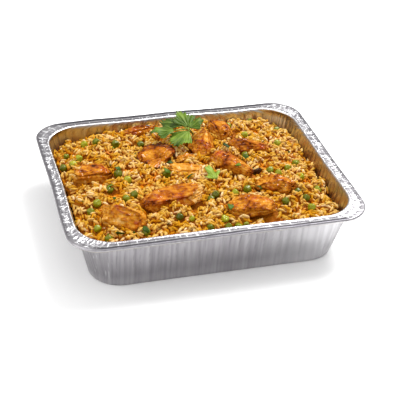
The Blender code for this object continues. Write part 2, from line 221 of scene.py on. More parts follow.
class Paint:
    """A material that is built node by node around one Principled BSDF."""

    def __init__(self, name, **constants):
        self.material = bpy.data.materials.new(name)
        self.material.use_nodes = True
        self.tree = self.material.node_tree
        self.shader = self.tree.nodes["Principled BSDF"]
        for word, value in constants.items():
            self.shader.inputs[self.socket_name(word)].default_value = value
        self.place = self.node("ShaderNodeTexCoord", output="Object")

    @staticmethod
    def socket_name(word):
        """The shader's own name of a socket from its plain word: coat_weight to Coat Weight."""
        return word.replace("_", " ").title().replace("Ior", "IOR")

    def node(self, kind, settings=None, sockets=None, output=0):
        """Adds a node: its settings first, then values or wires into its sockets."""
        node = self.tree.nodes.new(kind)
        for name, value in (settings or {}).items():
            if name == "stops":
                self.set_stops(node.color_ramp, value)
            else:
                setattr(node, name, value)
        for name, value in (sockets or {}).items():
            if isinstance(value, Wire):
                self.tree.links.new(value.socket, node.inputs[name])
            else:
                node.inputs[name].default_value = value
        return Wire(self, node.outputs[output])

    def set_stops(self, ramp, stops):
        """Gives a colour ramp its stops, each a position and a colour."""
        for number, (position, colour) in enumerate(stops):
            stop = ramp.elements[number] if number < 2 else ramp.elements.new(position)
            stop.position = position
            stop.color = (*colour, 1.0)

    def feed(self, **wires):
        """Links wires to the shader's sockets, named in lower case."""
        for name, wire in wires.items():
            self.tree.links.new(wire.socket, self.shader.inputs[self.socket_name(name)])

    def noise(self, size, detail=2.0, place=None, stretch=(1, 1, 1)):
        """Noise of about 0 to 1 with features of a size in metres, drawn out along the stretched axes."""
        scale = tuple(1 / size / along for along in stretch)
        mapped = self.node("ShaderNodeMapping", {}, {"Vector": place or self.place, "Scale": scale})
        return self.node("ShaderNodeTexNoise", {}, {"Vector": mapped, "Scale": 1.0, "Detail": detail})

    def cells(self, size, place=None, output="Distance"):
        """Random cells of a size: the distance from each one's middle, or its own colour."""
        scale = {"Vector": place or self.place, "Scale": 1 / size}
        return self.node("ShaderNodeTexVoronoi", {}, scale, output)

    def borders(self, size, place, stretch=(1, 1, 1)):
        """Distance from the borders between random cells of a size, in shares of the size."""
        scale = tuple(1 / size / along for along in stretch)
        mapped = self.node("ShaderNodeMapping", {}, {"Vector": place, "Scale": scale})
        settings = {"feature": "DISTANCE_TO_EDGE", "voronoi_dimensions": "2D"}
        return self.node("ShaderNodeTexVoronoi", settings, {"Vector": mapped, "Scale": 1.0})

    def field(self, name, output="Fac"):
        """One of the mesh's own fields, as a value or a vector."""
        return self.node("ShaderNodeAttribute", {"attribute_name": name}, {}, output)

    def ramp(self, value, *stops):
        """A colour for each value, blended between stops."""
        return self.node("ShaderNodeValToRGB", {"stops": stops}, {0: value})

    def step(self, value, low, high):
        """0 below low and 1 above high, smooth between."""
        sockets = {"Value": value, "From Min": low, "From Max": high}
        return self.node("ShaderNodeMapRange", {"interpolation_type": "SMOOTHSTEP"}, sockets)

    def mix(self, share, first, second):
        """A mix of two colours, each a wire or three numbers."""
        colours = [value if isinstance(value, Wire) else (*value, 1.0) for value in (first, second)]
        sockets = {0: share, 6: colours[0], 7: colours[1]}
        return self.node("ShaderNodeMix", {"data_type": "RGBA"}, sockets, 2)

    def bump(self, height, distance, strength):
        """Relief by a height of 0 to 1, for a distance in metres between the two."""
        sockets = {"Height": height, "Distance": distance, "Strength": strength}
        return self.node("ShaderNodeBump", {}, sockets)


def foil_paint(name, grease_and_reflection):
    """Rolled foil: streaks up the wall; painted shade in creases and dark lines, painted glints on thin
    creases.

    The second argument is the share of a golden film over the wall, an oil stain and a painted
    reflection of the rice, and it deepens the painted shade in the creases. Lie is the place on the
    unrolled sheet: along the rim, and from the rim's edge inwards or up the wall. The creases that get
    the painted glints are the borders between random cells of it, some of them drawn out across.
    """
    paint = Paint(name, metallic=1.0)
    lie = paint.field("lie", "Vector")
    crinkled = paint.field("crinkled")
    pleated = paint.field("pleated")
    streaks = paint.noise(3.4 * MM, 2.0, lie, (1, 30, 1))
    cloud = paint.noise(14 * MM, 3.0)
    # Painted glints: thin near-white lines along the flange's crinkles and cross pleats, broken into pieces.
    fine = 1 - paint.step(paint.borders(4.2 * MM, lie, (0.8, 1.6, 1)), 0.02, 0.13)
    cross = 1 - paint.step(paint.borders(9 * MM, lie, (1, 4, 1)), 0.02, 0.10)
    broken = paint.step(paint.noise(7 * MM, 1.0), 0.44, 0.54)
    bright = (crinkled * fine * broken + pleated * cross * broken).clamped()
    tint = paint.ramp(streaks, (0.25, (0.29, 0.275, 0.295)), (0.75, (0.45, 0.435, 0.45)))
    # Golden film over the inner wall: an oil stain and a painted reflection of the rice.
    film = paint.mix(paint.noise(9 * MM, 2.0), (0.78, 0.70, 0.42), (0.55, 0.48, 0.30))
    tint = paint.mix(grease_and_reflection * paint.field("wall_film"), tint, film)
    # Painted shade in the creases, deeper inside the tray, then painted sheen and glints in near white.
    crease = ((0.9 + 1.2 * grease_and_reflection) * paint.field("crease")).clamped()
    tint = paint.mix(crease, tint, (0.085, 0.08, 0.09))
    tint = paint.mix(paint.field("painted_sheen"), tint, (0.93, 0.93, 0.94))
    facets = paint.cells(3.6 * MM, lie, "Color")
    paint.feed(
        base_color=paint.mix(0.85 * bright, tint, (0.95, 0.95, 0.96)),
        roughness=0.27 + 0.16 * cloud,
        normal=paint.bump(crinkled * (1.2 * bright + facets) + 0.35 * streaks, 0.3 * MM, 0.6),
    )
    return paint.material


def rice_paint(name, dark, middle, light):
    """Moist fried rice: each grain has its own tint, and painted shade makes those in the gaps and the
    grains' undersides a deep warm brown.

    A weak emission stands for the light that moist grains pass on to each other.
    """
    paint = Paint(name, specular_ior_level=0.03, emission_strength=0.18)
    patch = paint.noise(3 * MM, 2.0)
    clump = paint.noise(11 * MM, 1.0)
    level = 0.7 * paint.field("tint") + 0.3 * patch + 0.7 * clump - 0.35
    colour = paint.ramp(level, (0.0, dark), (0.5, middle), (1.0, light))
    # Painted shade: grains deep in the gaps and on their undersides turn deep warm brown.
    colour = paint.mix(paint.field("depth"), colour, (0.50, 0.135, 0.0005))
    paint.feed(
        base_color=colour,
        emission_color=colour,
        roughness=0.36 + 0.2 * patch,
        normal=paint.bump(paint.noise(1.2 * MM, 1.0), 0.1 * MM, 0.4),
    )
    return paint.material


def core_paint():
    """The rice between and below the loose grains, painted a dark warm brown as the shade in the gaps."""
    paint = Paint("rice_core", specular_ior_level=0.1)
    spots = paint.cells(3.2 * MM)
    colour = paint.ramp(
        spots,
        (0.0, (0.46, 0.16, 0.003)),
        (0.55, (0.36, 0.105, 0.001)),
        (1.0, (0.26, 0.065, 0.0005)),
    )
    paint.feed(base_color=colour, roughness=0.5 + 0.2 * spots, normal=paint.bump(1 - spots, 1 * MM, 0.8))
    return paint.material


def chicken_paint():
    """Browned chicken: pale flesh, golden, amber, deep brown and char, by how browned each spot is."""
    paint = Paint("browned_chicken", specular_ior_level=0.03, coat_roughness=0.12)
    along = paint.field("along", "Vector")
    browning = paint.field("browning")
    fibres = paint.noise(1.3 * MM, 2.0, along, (6, 1, 1))
    patches = paint.noise(4 * MM, 4.0)
    specks = paint.step(paint.noise(1.7 * MM, 1.0), 0.64, 0.72)
    level = browning + 0.36 * (fibres - 0.5) + 0.32 * (patches - 0.5) + 0.22 * specks
    colour = paint.ramp(
        level,
        (0.0, (0.70, 0.42, 0.15)),
        (0.2, (0.56, 0.250, 0.026)),
        (0.42, (0.43, 0.145, 0.007)),
        (0.62, (0.28, 0.068, 0.003)),
        (0.8, (0.13, 0.022, 0.0006)),
        (1.0, (0.032, 0.010, 0.002)),
    )
    glaze = paint.field("glaze")
    colour = paint.mix(0.7 * glaze * patches, colour, (0.42, 0.030, 0.002))
    relief = fibres + 0.6 * paint.noise(1.8 * MM, 2.0)
    wet = paint.step(paint.noise(3 * MM, 2.0) + 0.1 * glaze, 0.55, 0.62)
    paint.feed(
        base_color=colour,
        roughness=0.28 + 0.3 * fibres,
        coat_weight=0.7 * wet,
        normal=paint.bump(relief + patches, 0.7 * MM, 0.8),
    )
    return paint.material


def pea_paint():
    """Pea skin: green to yellow-green from pea to pea, with a moist gloss."""
    paint = Paint("pea_skin", specular_ior_level=0.3)
    tint = paint.field("tint")
    cloud = paint.noise(3 * MM, 2.0)
    colour = paint.ramp(
        tint + 0.4 * (cloud - 0.5),
        (0.0, (0.060, 0.068, 0.0004)),
        (0.5, (0.175, 0.185, 0.0012)),
        (1.0, (0.35, 0.34, 0.012)),
    )
    paint.feed(
        base_color=colour,
        roughness=0.14 + 0.2 * cloud,
        normal=paint.bump(paint.noise(1.1 * MM, 1.0), 0.2 * MM, 0.5),
    )
    return paint.material


def herb_paint():
    """Fresh leaf: light veins that fan out from the stem, a darker blade and pale edges."""
    paint = Paint("fresh_herb", specular_ior_level=0.2)
    vein = paint.field("vein")
    tint = paint.field("tint")
    cloud = paint.noise(5 * MM, 3.0)
    blade = paint.ramp(
        tint + 0.5 * (cloud - 0.5),
        (0.0, (0.016, 0.038, 0.001)),
        (0.5, (0.066, 0.125, 0.003)),
        (1.0, (0.22, 0.32, 0.030)),
    )
    paint.feed(
        base_color=paint.mix(0.32 * vein, blade, (0.30, 0.38, 0.07)),
        roughness=0.38 + 0.2 * cloud,
        normal=paint.bump(cloud - vein, 0.4 * MM, 0.6),
    )
    return paint.material


# ---------------------------------------------------------------- tray

def outline_columns(long_steps, short_steps, corner_steps):
    """Where each column of the tray stands on a rounded rectangle, anticlockwise from the front's left.

    Spans are the multipliers, -1 to 1, of the straight half lengths, and normals point outwards, so
    that a ring's point is span times (half size less corner radius) plus normal times corner radius.
    """
    spans = []
    normals = []
    for side in range(4):
        turn = side * math.pi / 2
        steps = (long_steps, short_steps)[side % 2]
        outward = np.array((math.sin(turn), -math.cos(turn)))
        along = np.array((math.cos(turn), math.sin(turn)))
        share = np.linspace(-1, 1, steps, endpoint=False)[:, None]
        spans.append(outward + along * share)
        normals.append(np.broadcast_to(outward, (steps, 2)))
        angle = np.linspace(0, math.pi / 2, corner_steps, endpoint=False)[:, None]
        spans.append(np.broadcast_to(outward + along, (corner_steps, 2)))
        normals.append(outward * np.cos(angle) + along * np.sin(angle))
    return np.concatenate(spans), np.concatenate(normals)


def scallop(position, creases):
    """0 on each crease and 1 midway between two, rising steeply off the crease: 1 less a steep bowl."""
    number = np.clip(np.searchsorted(creases, position) - 1, 0, len(creases) - 2)
    share = (position - creases[number]) / (creases[number + 1] - creases[number])
    return 1 - np.abs(2 * share - 1) ** 1.9, number


def crease_line(length, smallest, largest, seed):
    """Uneven crease positions that cover a length and a little more at both ends."""
    rng = np.random.default_rng(seed)
    steps = rng.uniform(smallest, largest, int(1.3 * length / smallest))
    return np.cumsum(steps) - 0.1 * length


def wall_size(height):
    """Half sizes (x and y) and corner radius of the wall's outer skin at an array of heights."""
    share = (height - FOOT_HEIGHT) / (RIM.z - FOOT_HEIGHT)
    foot = np.array(FOOT_INSET)
    half = np.array(RIM.xy) - foot - (FLANGE - foot) * share[..., None]
    return half, FOOT_CORNER + (WALL_CORNER - FOOT_CORNER) * share


def line_at(inset, middle, width):
    """1 along a line at an inset from the rim's edge, falling to 0 on both sides as a bell curve."""
    return np.exp(-(((inset - middle) / width) ** 2))


def tray_profile():
    """Rows of the foil from its base up the wall and out along the flange to the rolled bead.

    Gives each row's inset from the rim's edge (x and y), corner radius and height.
    """
    edge = np.linspace(0, math.pi / 2, 4)[:, None]
    wall = np.linspace(0, 1, 19)[1:, None]
    lip = np.array([[12.3, -0.9], [11.9, -0.25], [11.2, 0.0], [10.4, -0.25]]) * MM
    flat = np.linspace(9.7, 3.9, 10)[:, None] * MM
    roll = np.linspace(0.45 * math.pi, -0.9 * math.pi, 9)[:, None]
    bead = 1.7 * MM
    foot = np.array(FOOT_INSET)
    ledge = np.full(2, FLANGE)
    insets = np.concatenate([
        [foot + 16 * MM],
        foot + 2.2 * MM * (1 - np.sin(edge)),
        foot + (ledge - foot) * wall,
        np.repeat(lip[:, :1], 2, 1),
        np.repeat(flat, 2, 1),
        np.repeat(bead - bead * np.cos(roll), 2, 1),
    ])
    heights = np.concatenate([
        [0.0],
        (FOOT_HEIGHT * (1 - np.cos(edge)))[:, 0],
        (FOOT_HEIGHT + (RIM.z - 1.6 * MM - FOOT_HEIGHT) * wall)[:, 0],
        RIM.z - FOIL + lip[:, 1],
        np.full(len(flat), RIM.z - FOIL - 0.6 * MM),
        (RIM.z - FOIL - bead + bead * np.sin(roll))[:, 0],
    ])
    out = np.minimum(insets[:, 0], FLANGE) / FLANGE
    _, wall_corner = wall_size(heights)
    shoulder = smooth(RIM.z - 6.5 * MM, RIM.z - 1.5 * MM, heights)
    flange_corner = RIM_CORNER + (LIP_CORNER - RIM_CORNER) * out
    corners = wall_corner + (flange_corner - wall_corner) * shoulder
    corners[insets[:, 0] < 4 * MM] = RIM_CORNER - 0.6 * insets[insets[:, 0] < 4 * MM, 0]
    return insets, corners, heights


def unrolled(ring):
    """Where points lie along the rim, in metres from the front's middle, to the right or (below 0) left.

    It is the arc length of the lip's outline: x or y itself along the straight sides, and the lip's
    radius times the angle round the corners. The two ways round meet at the left end of the back.
    """
    reach = np.array(RIM.xy) - FLANGE - LIP_CORNER
    quarter = LIP_CORNER * math.pi / 2
    x, y = ring[..., 0], ring[..., 1]
    beyond_x, beyond_y = np.abs(x) - reach[0], np.abs(y) - reach[1]
    arc = LIP_CORNER * np.arctan2(np.maximum(beyond_x, 0), np.maximum(beyond_y, 0))
    front = reach[0] + arc
    side = reach[0] + quarter + reach[1] + y
    back = reach[0] + 2 * quarter + 2 * reach[1] - arc
    way = np.where(beyond_y <= 0, side, np.where(y < 0, front, back)) * np.sign(x)
    straight = np.where(y < 0, x, 2 * reach[0] + 2 * quarter + 2 * reach[1] - x)
    return np.where(beyond_x <= 0, straight, way)


# Least and greatest distance between creases: of the wall's flutes, its corner pleats, and the
# pleats across the flange.
FLUTE_PITCH = (6.5 * MM, 11 * MM)
PLEAT_PITCH = (2.8 * MM, 5.5 * MM)
CROSS_PITCH = (2.6 * MM, 6.0 * MM)
# Insets from the rim's edge of the lines that run along the flange: dark lines of painted shade,
# and bright lines of painted glints.
BEAD_SHADE_LINE = 1.5 * MM
FLANGE_SHADE_LINE = 4.2 * MM
BEAD_GLINT = 2.8 * MM
FLANGE_GLINT = 5.6 * MM
LIP_GLINT = 11.9 * MM
GLINT_WIDTH = 0.5 * MM


def make_tray():
    """Foil drawn over the profile all round, then pleated.

    Wall: the skin bows inwards between uneven creases that stand from foot to lip, finer in the
    corners. Flange: low cross pleats lift its inner part, and slow waves tilt it. The relief is
    added along the outline's normal and upwards. Fields tell the paint where the creases and crinkles
    are, and where the painted shade, the painted glints and sheen, and the golden film go. The foil's
    inside has the paint with the golden film, an oil stain and a painted reflection of the rice, and
    deeper painted shade in its creases.
    """
    insets, corners, heights = tray_profile()
    spans, normals = outline_columns(196, 144, 56)
    half = np.array(RIM.xy) - insets
    ring = spans * (half - corners[:, None])[:, None, :] + normals * corners[:, None, None]
    around = unrolled(ring)
    around = around - around.min()
    length = around.max()
    height = np.broadcast_to(heights[:, None], around.shape)
    inset = np.broadcast_to(insets[:, :1], around.shape)
    corner = np.broadcast_to(np.abs(normals[:, 0] * normals[:, 1])[None, :] * 2, around.shape)
    side = np.broadcast_to(np.abs(normals[:, 0])[None, :], around.shape)
    place = np.concatenate([ring, height[..., None]], -1)
    drift = 0.8 * MM * waves(place, 60 * MM, 3)
    flutes, number = scallop(around + drift, crease_line(length, *FLUTE_PITCH, 7))
    pleats, _ = scallop(around + drift, crease_line(length, *PLEAT_PITCH, 8))
    on_wall = smooth(4 * MM, 16 * MM, height) * (1 - smooth(RIM.z - 7 * MM, RIM.z - 1.2 * MM, height))
    depth = (0.85 + 0.35 * np.sin(number * 2.4)) * MM
    bow = flutes * depth * (1 - 0.6 * corner) + pleats * 0.75 * MM * smooth(0.15, 0.8, corner)
    push = on_wall * (0.12 * MM * waves(place, 26 * MM, 5) - bow)
    on_flange = (height > RIM.z - 4 * MM) & (inset < FLANGE - 0.5 * MM)
    zigzag = 1.0 * MM * np.sin(TAU * inset / (7 * MM) + 0.8 * number)
    cross, _ = scallop(around + zigzag, crease_line(length, *CROSS_PITCH, 9))
    crimp = (4.6 - 3 * np.maximum(corner, 0.8 * side)) * MM
    inner = smooth(crimp, crimp + 1.8 * MM, inset) * (1 - smooth(10.6 * MM, 11.6 * MM, inset))
    rough = 0.12 + 0.25 * side + 0.15 * corner
    lift = inner * (cross - 0.75) * rough * MM
    lift += 0.08 * MM * waves(place, 9 * MM, 10) - 0.25 * MM + 0.25 * MM * waves(place, 90 * MM, 11)
    lift = np.where(on_flange, lift, 0)
    sway = np.where(height > RIM.z - 5 * MM, 0.35 * MM * waves(place, 120 * MM, 12) - 0.5 * MM, 0)
    creased = smooth(4 * MM, 16 * MM, height) * (1 - smooth(RIM.z - 2.5 * MM, RIM.z - 0.8 * MM, height))
    # Painted shade: dark on the wall's creases and toward its foot; on the flange dark lines and a band.
    painted_shade = creased * (1 - smooth(0, 0.35, flutes)) * 0.40
    painted_shade = np.maximum(painted_shade, on_wall * 0.38 * (1 - smooth(0.1, 0.8, height / RIM.z)))
    thin = (0.8 - 0.35 * side) * MM
    shade_lines = line_at(inset, FLANGE_SHADE_LINE, thin) + 0.9 * line_at(inset, BEAD_SHADE_LINE, 0.8 * thin)
    shade_band = 0.30 * inner * (1 - corner) * (1 - 0.5 * side)
    shade_lines = 0.9 * shade_lines * (1 - 0.75 * corner) * (1 - 0.5 * side)
    painted_shade = np.where(on_flange, np.maximum(shade_band, shade_lines), painted_shade)
    # Painted highlights: glint lines along the lip, the flange and the bead; on the front and back walls a
    # painted sheen toward their right ends, and in patches along the corner pleats.
    glints = 0.8 * line_at(inset, LIP_GLINT, GLINT_WIDTH) + 0.45 * line_at(inset, FLANGE_GLINT, GLINT_WIDTH)
    glints = glints + 0.3 * line_at(inset, BEAD_GLINT, GLINT_WIDTH)
    painted_sheen = 0.36 * smooth(20 * MM, 140 * MM, ring[..., 0]) * (1 - side)
    patchy = smooth(-0.2, 0.8, waves(place, 12 * MM, 13))
    painted_sheen += 0.6 * corner * creased * (1 - smooth(0.0, 0.3, pleats)) * patchy
    painted_sheen = np.where(height > RIM.z - 2.2 * MM, glints, painted_sheen)
    flat = ring + normals * (push + sway)[..., None]
    points = np.concatenate([flat, (height + lift)[..., None]], -1)
    across = np.where(height > RIM.z - 3 * MM, inset, RIM.z + FLANGE - height)
    crinkled = smooth(crimp, crimp + 1.5 * MM, inset)
    fields = {
        # Fields: painted shade, painted highlights and sheen, and the wall where the golden film goes.
        "crease": painted_shade.ravel(),
        "painted_sheen": painted_sheen.ravel(),
        "wall_film": ((height < RIM.z - 3 * MM) + 0.0).ravel(),
        "crinkled": (on_flange * crinkled * np.maximum(side, corner)).ravel(),
        "pleated": (inner * (0.7 + 0.3 * corner)).ravel(),
        "lie": np.stack([around, across, 0 * around], -1).reshape(-1, 3),
    }
    rows, columns, _ = points.shape
    base = np.arange(columns)[None, ::-1]
    faces = [grid_faces(rows, columns), base]
    tray = add_piece("foil_tray", points.reshape(-1, 3), faces, foil_paint("crimped_foil", 0.0), fields)
    # The inside's paint has the golden film, an oil stain and a painted reflection of the rice.
    tray.data.materials.append(foil_paint("inner_foil_grease_and_reflection", 0.8))
    sheet = tray.modifiers.new("foil", "SOLIDIFY")
    sheet.thickness = FOIL
    sheet.offset = -1.0
    sheet.material_offset = 1
    add_food(tray, "foil", "tray")


def wall_inside(points):
    """True where a point is inside the tray, clear of the foil: in the wall's rounded rectangle there."""
    half, corner = wall_size(points[..., 2])
    half = half - INSIDE
    out = np.abs(points[..., :2]) - half + corner[..., None]
    beyond = np.linalg.norm(np.maximum(out, 0), axis=-1)
    return np.where(beyond > 0, beyond < corner, True) & (out < corner[..., None]).all(-1)


# ---------------------------------------------------------------- rice

def rice_height(x, y):
    """Height of the heap at arrays of places: its edge's height there, and a crown inside, with ripples."""
    half, _ = wall_size(np.array(RICE_EDGE))
    across = x / half[0]
    deep = y / half[1]
    out = np.minimum(1, (np.abs(across) ** 5 + np.abs(deep) ** 5) ** 0.2)
    edge = RICE_EDGE - RICE_FALL.x * across - RICE_FALL.y * deep + RICE_TWIST * across * deep
    edge = edge + RICE_SIDES.x * across**2 + RICE_SIDES.y * deep**2 - CORNER_DIP * (across * deep) ** 2
    ripple = np.sin(x / (9 * MM)) * np.cos(y / (11 * MM)) + np.sin((x - 2 * y) / (23 * MM))
    return edge + (RICE_CROWN - edge) * (1 - out**4.5) + RICE_RIPPLE * ripple


def heap_top(x, y):
    """Height that the loose grains fill up to: the heap's with small mounds over it."""
    place = np.stack([x, y, 0 * x], -1)
    mounds = 0.8 * waves(place, 24 * MM, 21) + 0.8 * waves(place, 12 * MM, 22)
    return rice_height(x, y) - SINK + MOUND * mounds


def core_ring(spans, normals, height):
    """The core's outline where it meets the wall, for a height at each of its columns."""
    half, corner = wall_size(height)
    half, corner = half - CORE_INSET, corner[..., None] - CORE_INSET
    return spans * (half - corner) + normals * corner


def make_core():
    """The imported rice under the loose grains: rings from the tray's foot to the top's middle.

    The top is the heap's height less the grains' depth, with lumps as small as grains.
    """
    spans, normals = outline_columns(70, 56, 14)
    rings = 46
    foot = core_ring(spans, normals, np.full(len(spans), FOOT_HEIGHT))
    rim = core_ring(spans, normals, np.full(len(spans), RICE_EDGE))
    rim = core_ring(spans, normals, heap_top(*rim.T) - RICE_DEPTH)
    shares = 1 - (np.arange(rings) / rings) ** 1.1
    flat = np.concatenate([[foot * 0.98, foot], rim * shares[:, None, None]])
    x, y = flat[..., 0], flat[..., 1]
    height = heap_top(x, y) - RICE_DEPTH
    lumps = waves(np.stack([x, y, height], -1), 4.5 * MM, 20)
    height[2:] += 0.6 * MM * lumps[2:] * smooth(0, 0.1, 1 - shares)[:, None]
    height[0] = 1.2 * MM
    height[1] = FOOT_HEIGHT + 1.5 * MM
    points = np.stack([x, y, height], -1)
    rows, columns, _ = points.shape
    middle = np.zeros(1)
    tip = np.column_stack([middle, middle, heap_top(middle, middle) - RICE_DEPTH])
    top = np.arange(columns) + (rows - 1) * columns
    faces = [
        grid_faces(rows, columns),
        np.arange(columns)[None, ::-1],
        fan_faces(top, rows * columns, True),
    ]
    core = add_piece("rice_core", np.concatenate([points.reshape(-1, 3), tip]), faces, core_paint())
    add_food(core, "rice", "rice")


class Bed:
    """What lies in the tray so far: its height on a square grid, and the cells that are taken."""

    CELL = 1.0 * MM

    def __init__(self):
        reach = np.array(RIM.xy)
        self.count = np.ceil(2 * reach / self.CELL).astype(int)
        middles = [(np.arange(n) + 0.5) * self.CELL - r for n, r in zip(self.count, reach)]
        x, y = np.meshgrid(*middles, indexing="ij")
        self.target = heap_top(x, y)
        self.level = self.target - RICE_DEPTH
        self.taken = np.zeros(self.level.shape, bool)

    def cells(self, x, y):
        """Grid cell numbers under points, kept on the grid."""
        numbers = []
        for value, reach, count in zip((x, y), RIM.xy, self.count):
            numbers.append(np.clip(((value + reach) / self.CELL).astype(int), 0, count - 1))
        return tuple(numbers)

    def take(self, points, margin):
        """Lays a piece's surface on the bed, and marks the cells where it stands clear by a margin."""
        cells = self.cells(points[:, 0], points[:, 1])
        np.maximum.at(self.level, cells, points[:, 2])
        above = points[:, 2] > self.target[cells] + margin
        self.taken[cells[0][above], cells[1][above]] = True

    def settle(self, x, y, yaw, length, radius, room):
        """Lets rods down on the bed. Each lies along the slope of the heights under it.

        A rod that would touch a taken cell, poke out of the tray or lie higher than room above the
        heap's own surface is left out. Gives the kept rods' numbers, heights and pitches, and
        raises the bed under them.
        """
        share = np.linspace(-0.5, 0.5, 7)[None, :]
        px = x[:, None] + share * length[:, None] * np.cos(yaw)[:, None]
        py = y[:, None] + share * length[:, None] * np.sin(yaw)[:, None]
        cells = self.cells(px, py)
        under = self.level[cells]
        mean = under.mean(1)
        slope = (under * share).sum(1) / (share**2).sum() / length
        slope = np.clip(slope, -0.55, 0.55)
        height = mean + 0.4 * (under.max(1) - mean) + 0.6 * radius
        line = height[:, None] + slope[:, None] * share * length[:, None]
        ends = np.stack([px, py, line], -1)
        fits = wall_inside(ends).all(1) & ~self.taken[cells].any(1)
        fits &= height < self.target[cells][:, 3] + room
        for side in (-0.9, 0.0, 0.9):
            near = self.cells(
                px + side * (radius * -np.sin(yaw))[:, None],
                py + side * (radius * np.cos(yaw))[:, None],
            )
            top = line + radius[:, None] * (0.8 - 0.5 * abs(side))
            np.maximum.at(self.level, (near[0][fits], near[1][fits]), top[fits])
        return np.flatnonzero(fits), height[fits], np.arctan(slope[fits])


def grain_shape():
    """One cooked grain along X, of length and width 1: an ellipse-like rod with blunt ends."""
    share = np.array([-0.88, -0.42, 0.42, 0.88])[:, None]
    girth = (1 - np.abs(share) ** 3) ** 0.5
    angle = np.linspace(0, TAU, 6, endpoint=False)[None, :]
    x = 0.5 * share + 0 * angle
    y = 0.5 * girth * np.cos(angle)
    z = 0.44 * girth * np.sin(angle)
    return closed_tube(np.stack([x, y, z], -1), (-0.5, 0, 0), (0.5, 0, 0))


# Name, share of all grains, then dark, middle and light colour.
RICE_KINDS = (
    ("rice_browned", 0.12, (0.34, 0.105, 0.001), (0.42, 0.180, 0.003), (0.49, 0.250, 0.020)),
    ("rice_golden", 0.38, (0.38, 0.160, 0.002), (0.47, 0.250, 0.022), (0.56, 0.350, 0.090)),
    ("rice_pale", 0.50, (0.43, 0.215, 0.015), (0.54, 0.335, 0.090), (0.67, 0.490, 0.270)),
)
RICE_BATCHES = 110
RICE_BATCH = 300
# Mean, spread, least and greatest (mm).
GRAIN_LENGTH = (8.0, 1.4, 5.0, 11.5)
GRAIN_RADIUS = (1.52, 0.18, 1.15, 1.95)
GRAIN_ROOM = 0.7 * MM  # how far over the level to fill to a grain's middle may lie


def uneven_sizes(rng, sizes, count):
    """Random sizes in metres about a mean, by a bell curve kept between a least and a greatest."""
    mean, spread, least, greatest = sizes
    return rng.normal(mean, spread, count).clip(least, greatest) * MM


def settle_rice(bed):
    """Drops batches of grains on the bed. Gives every kept grain's place, turn and sizes as arrays.

    Neighbouring grains tend to lie the same way, by a slow random field.
    """
    rng = np.random.default_rng(30)
    kept = []
    for _ in range(RICE_BATCHES):
        x = rng.uniform(-RIM.x, RIM.x, RICE_BATCH) * 0.92
        y = rng.uniform(-RIM.y, RIM.y, RICE_BATCH) * 0.92
        swirl = waves(np.stack([x, y, 0 * x], -1), 45 * MM, 35)
        yaw = 1.4 * swirl + rng.normal(0, 0.9, RICE_BATCH)
        length = uneven_sizes(rng, GRAIN_LENGTH, RICE_BATCH)
        radius = uneven_sizes(rng, GRAIN_RADIUS, RICE_BATCH)
        number, height, pitch = bed.settle(x, y, yaw, length, radius, GRAIN_ROOM)
        lean = rng.normal(0, 0.15, len(number))
        lean[rng.random(len(number)) < 0.08] *= 4.0
        columns = (x[number], y[number], height, yaw[number], pitch + lean, length[number], radius[number])
        kept.append(np.stack(columns, -1))
    return np.concatenate(kept)


def make_rice(bed):
    """Loose grains in three colours, each colour one piece of joined copies of the grain.

    Grains of a colour keep together in patches, and the back right has more pale ones. Each grain is
    bent by the square of the place along it. Depth, the share of painted shade in deep warm brown, is
    1 deep below the heap's top, and nearly so on a grain's underside.
    """
    grains = settle_rice(bed)
    rng = np.random.default_rng(34)
    mood = rng.uniform(-1, 1, len(grains)) + 0.45 * waves(grains[:, :3], 22 * MM, 36)
    mood += 0.5 * smooth(-60 * MM, 160 * MM, grains[:, 0] + grains[:, 1])
    order = np.argsort(mood)
    first = 0
    for name, share, *colours in RICE_KINDS:
        count = round(share * len(grains))
        mine = grains[order[first : first + count]]
        first += count
        x, y, z, yaw, pitch, length, radius = mine.T
        shape, faces = grain_shape()
        shapes = np.repeat(shape[None], len(mine), 0)
        bend = rng.normal(0, 0.22, len(mine))
        shapes[:, :, 1] += bend[:, None] * (4 * shape[:, 0] ** 2 - 0.4)
        shapes = shapes * np.stack([length, 2 * radius, 2 * radius], -1)[:, None, :]
        turns = turns_of(yaw, pitch, rng.uniform(0, TAU, len(mine)))
        points, faces = copies(shapes, faces, turns, np.stack([x, y, z], -1))
        top = rice_height(points[:, 0], points[:, 1])
        # How much painted shade each point gets: full deep below the heap's top and on a grain's underside.
        deep = smooth(1.2 * MM, 4.6 * MM, top - points[:, 2])
        below = np.repeat(z, len(shape)) - points[:, 2]
        under = smooth(-0.3, 0.8, below / np.repeat(radius, len(shape)))
        fields = {
            "tint": np.repeat(rng.uniform(0, 1, len(mine)), len(shape)),
            "depth": 1 - (1 - deep) * (1 - 0.8 * under),
        }
        add_food(add_piece(name, points, faces, rice_paint(name, *colours), fields), "rice")


CRUMBS = 600  # before those on the chicken, the peas and the wall are left out


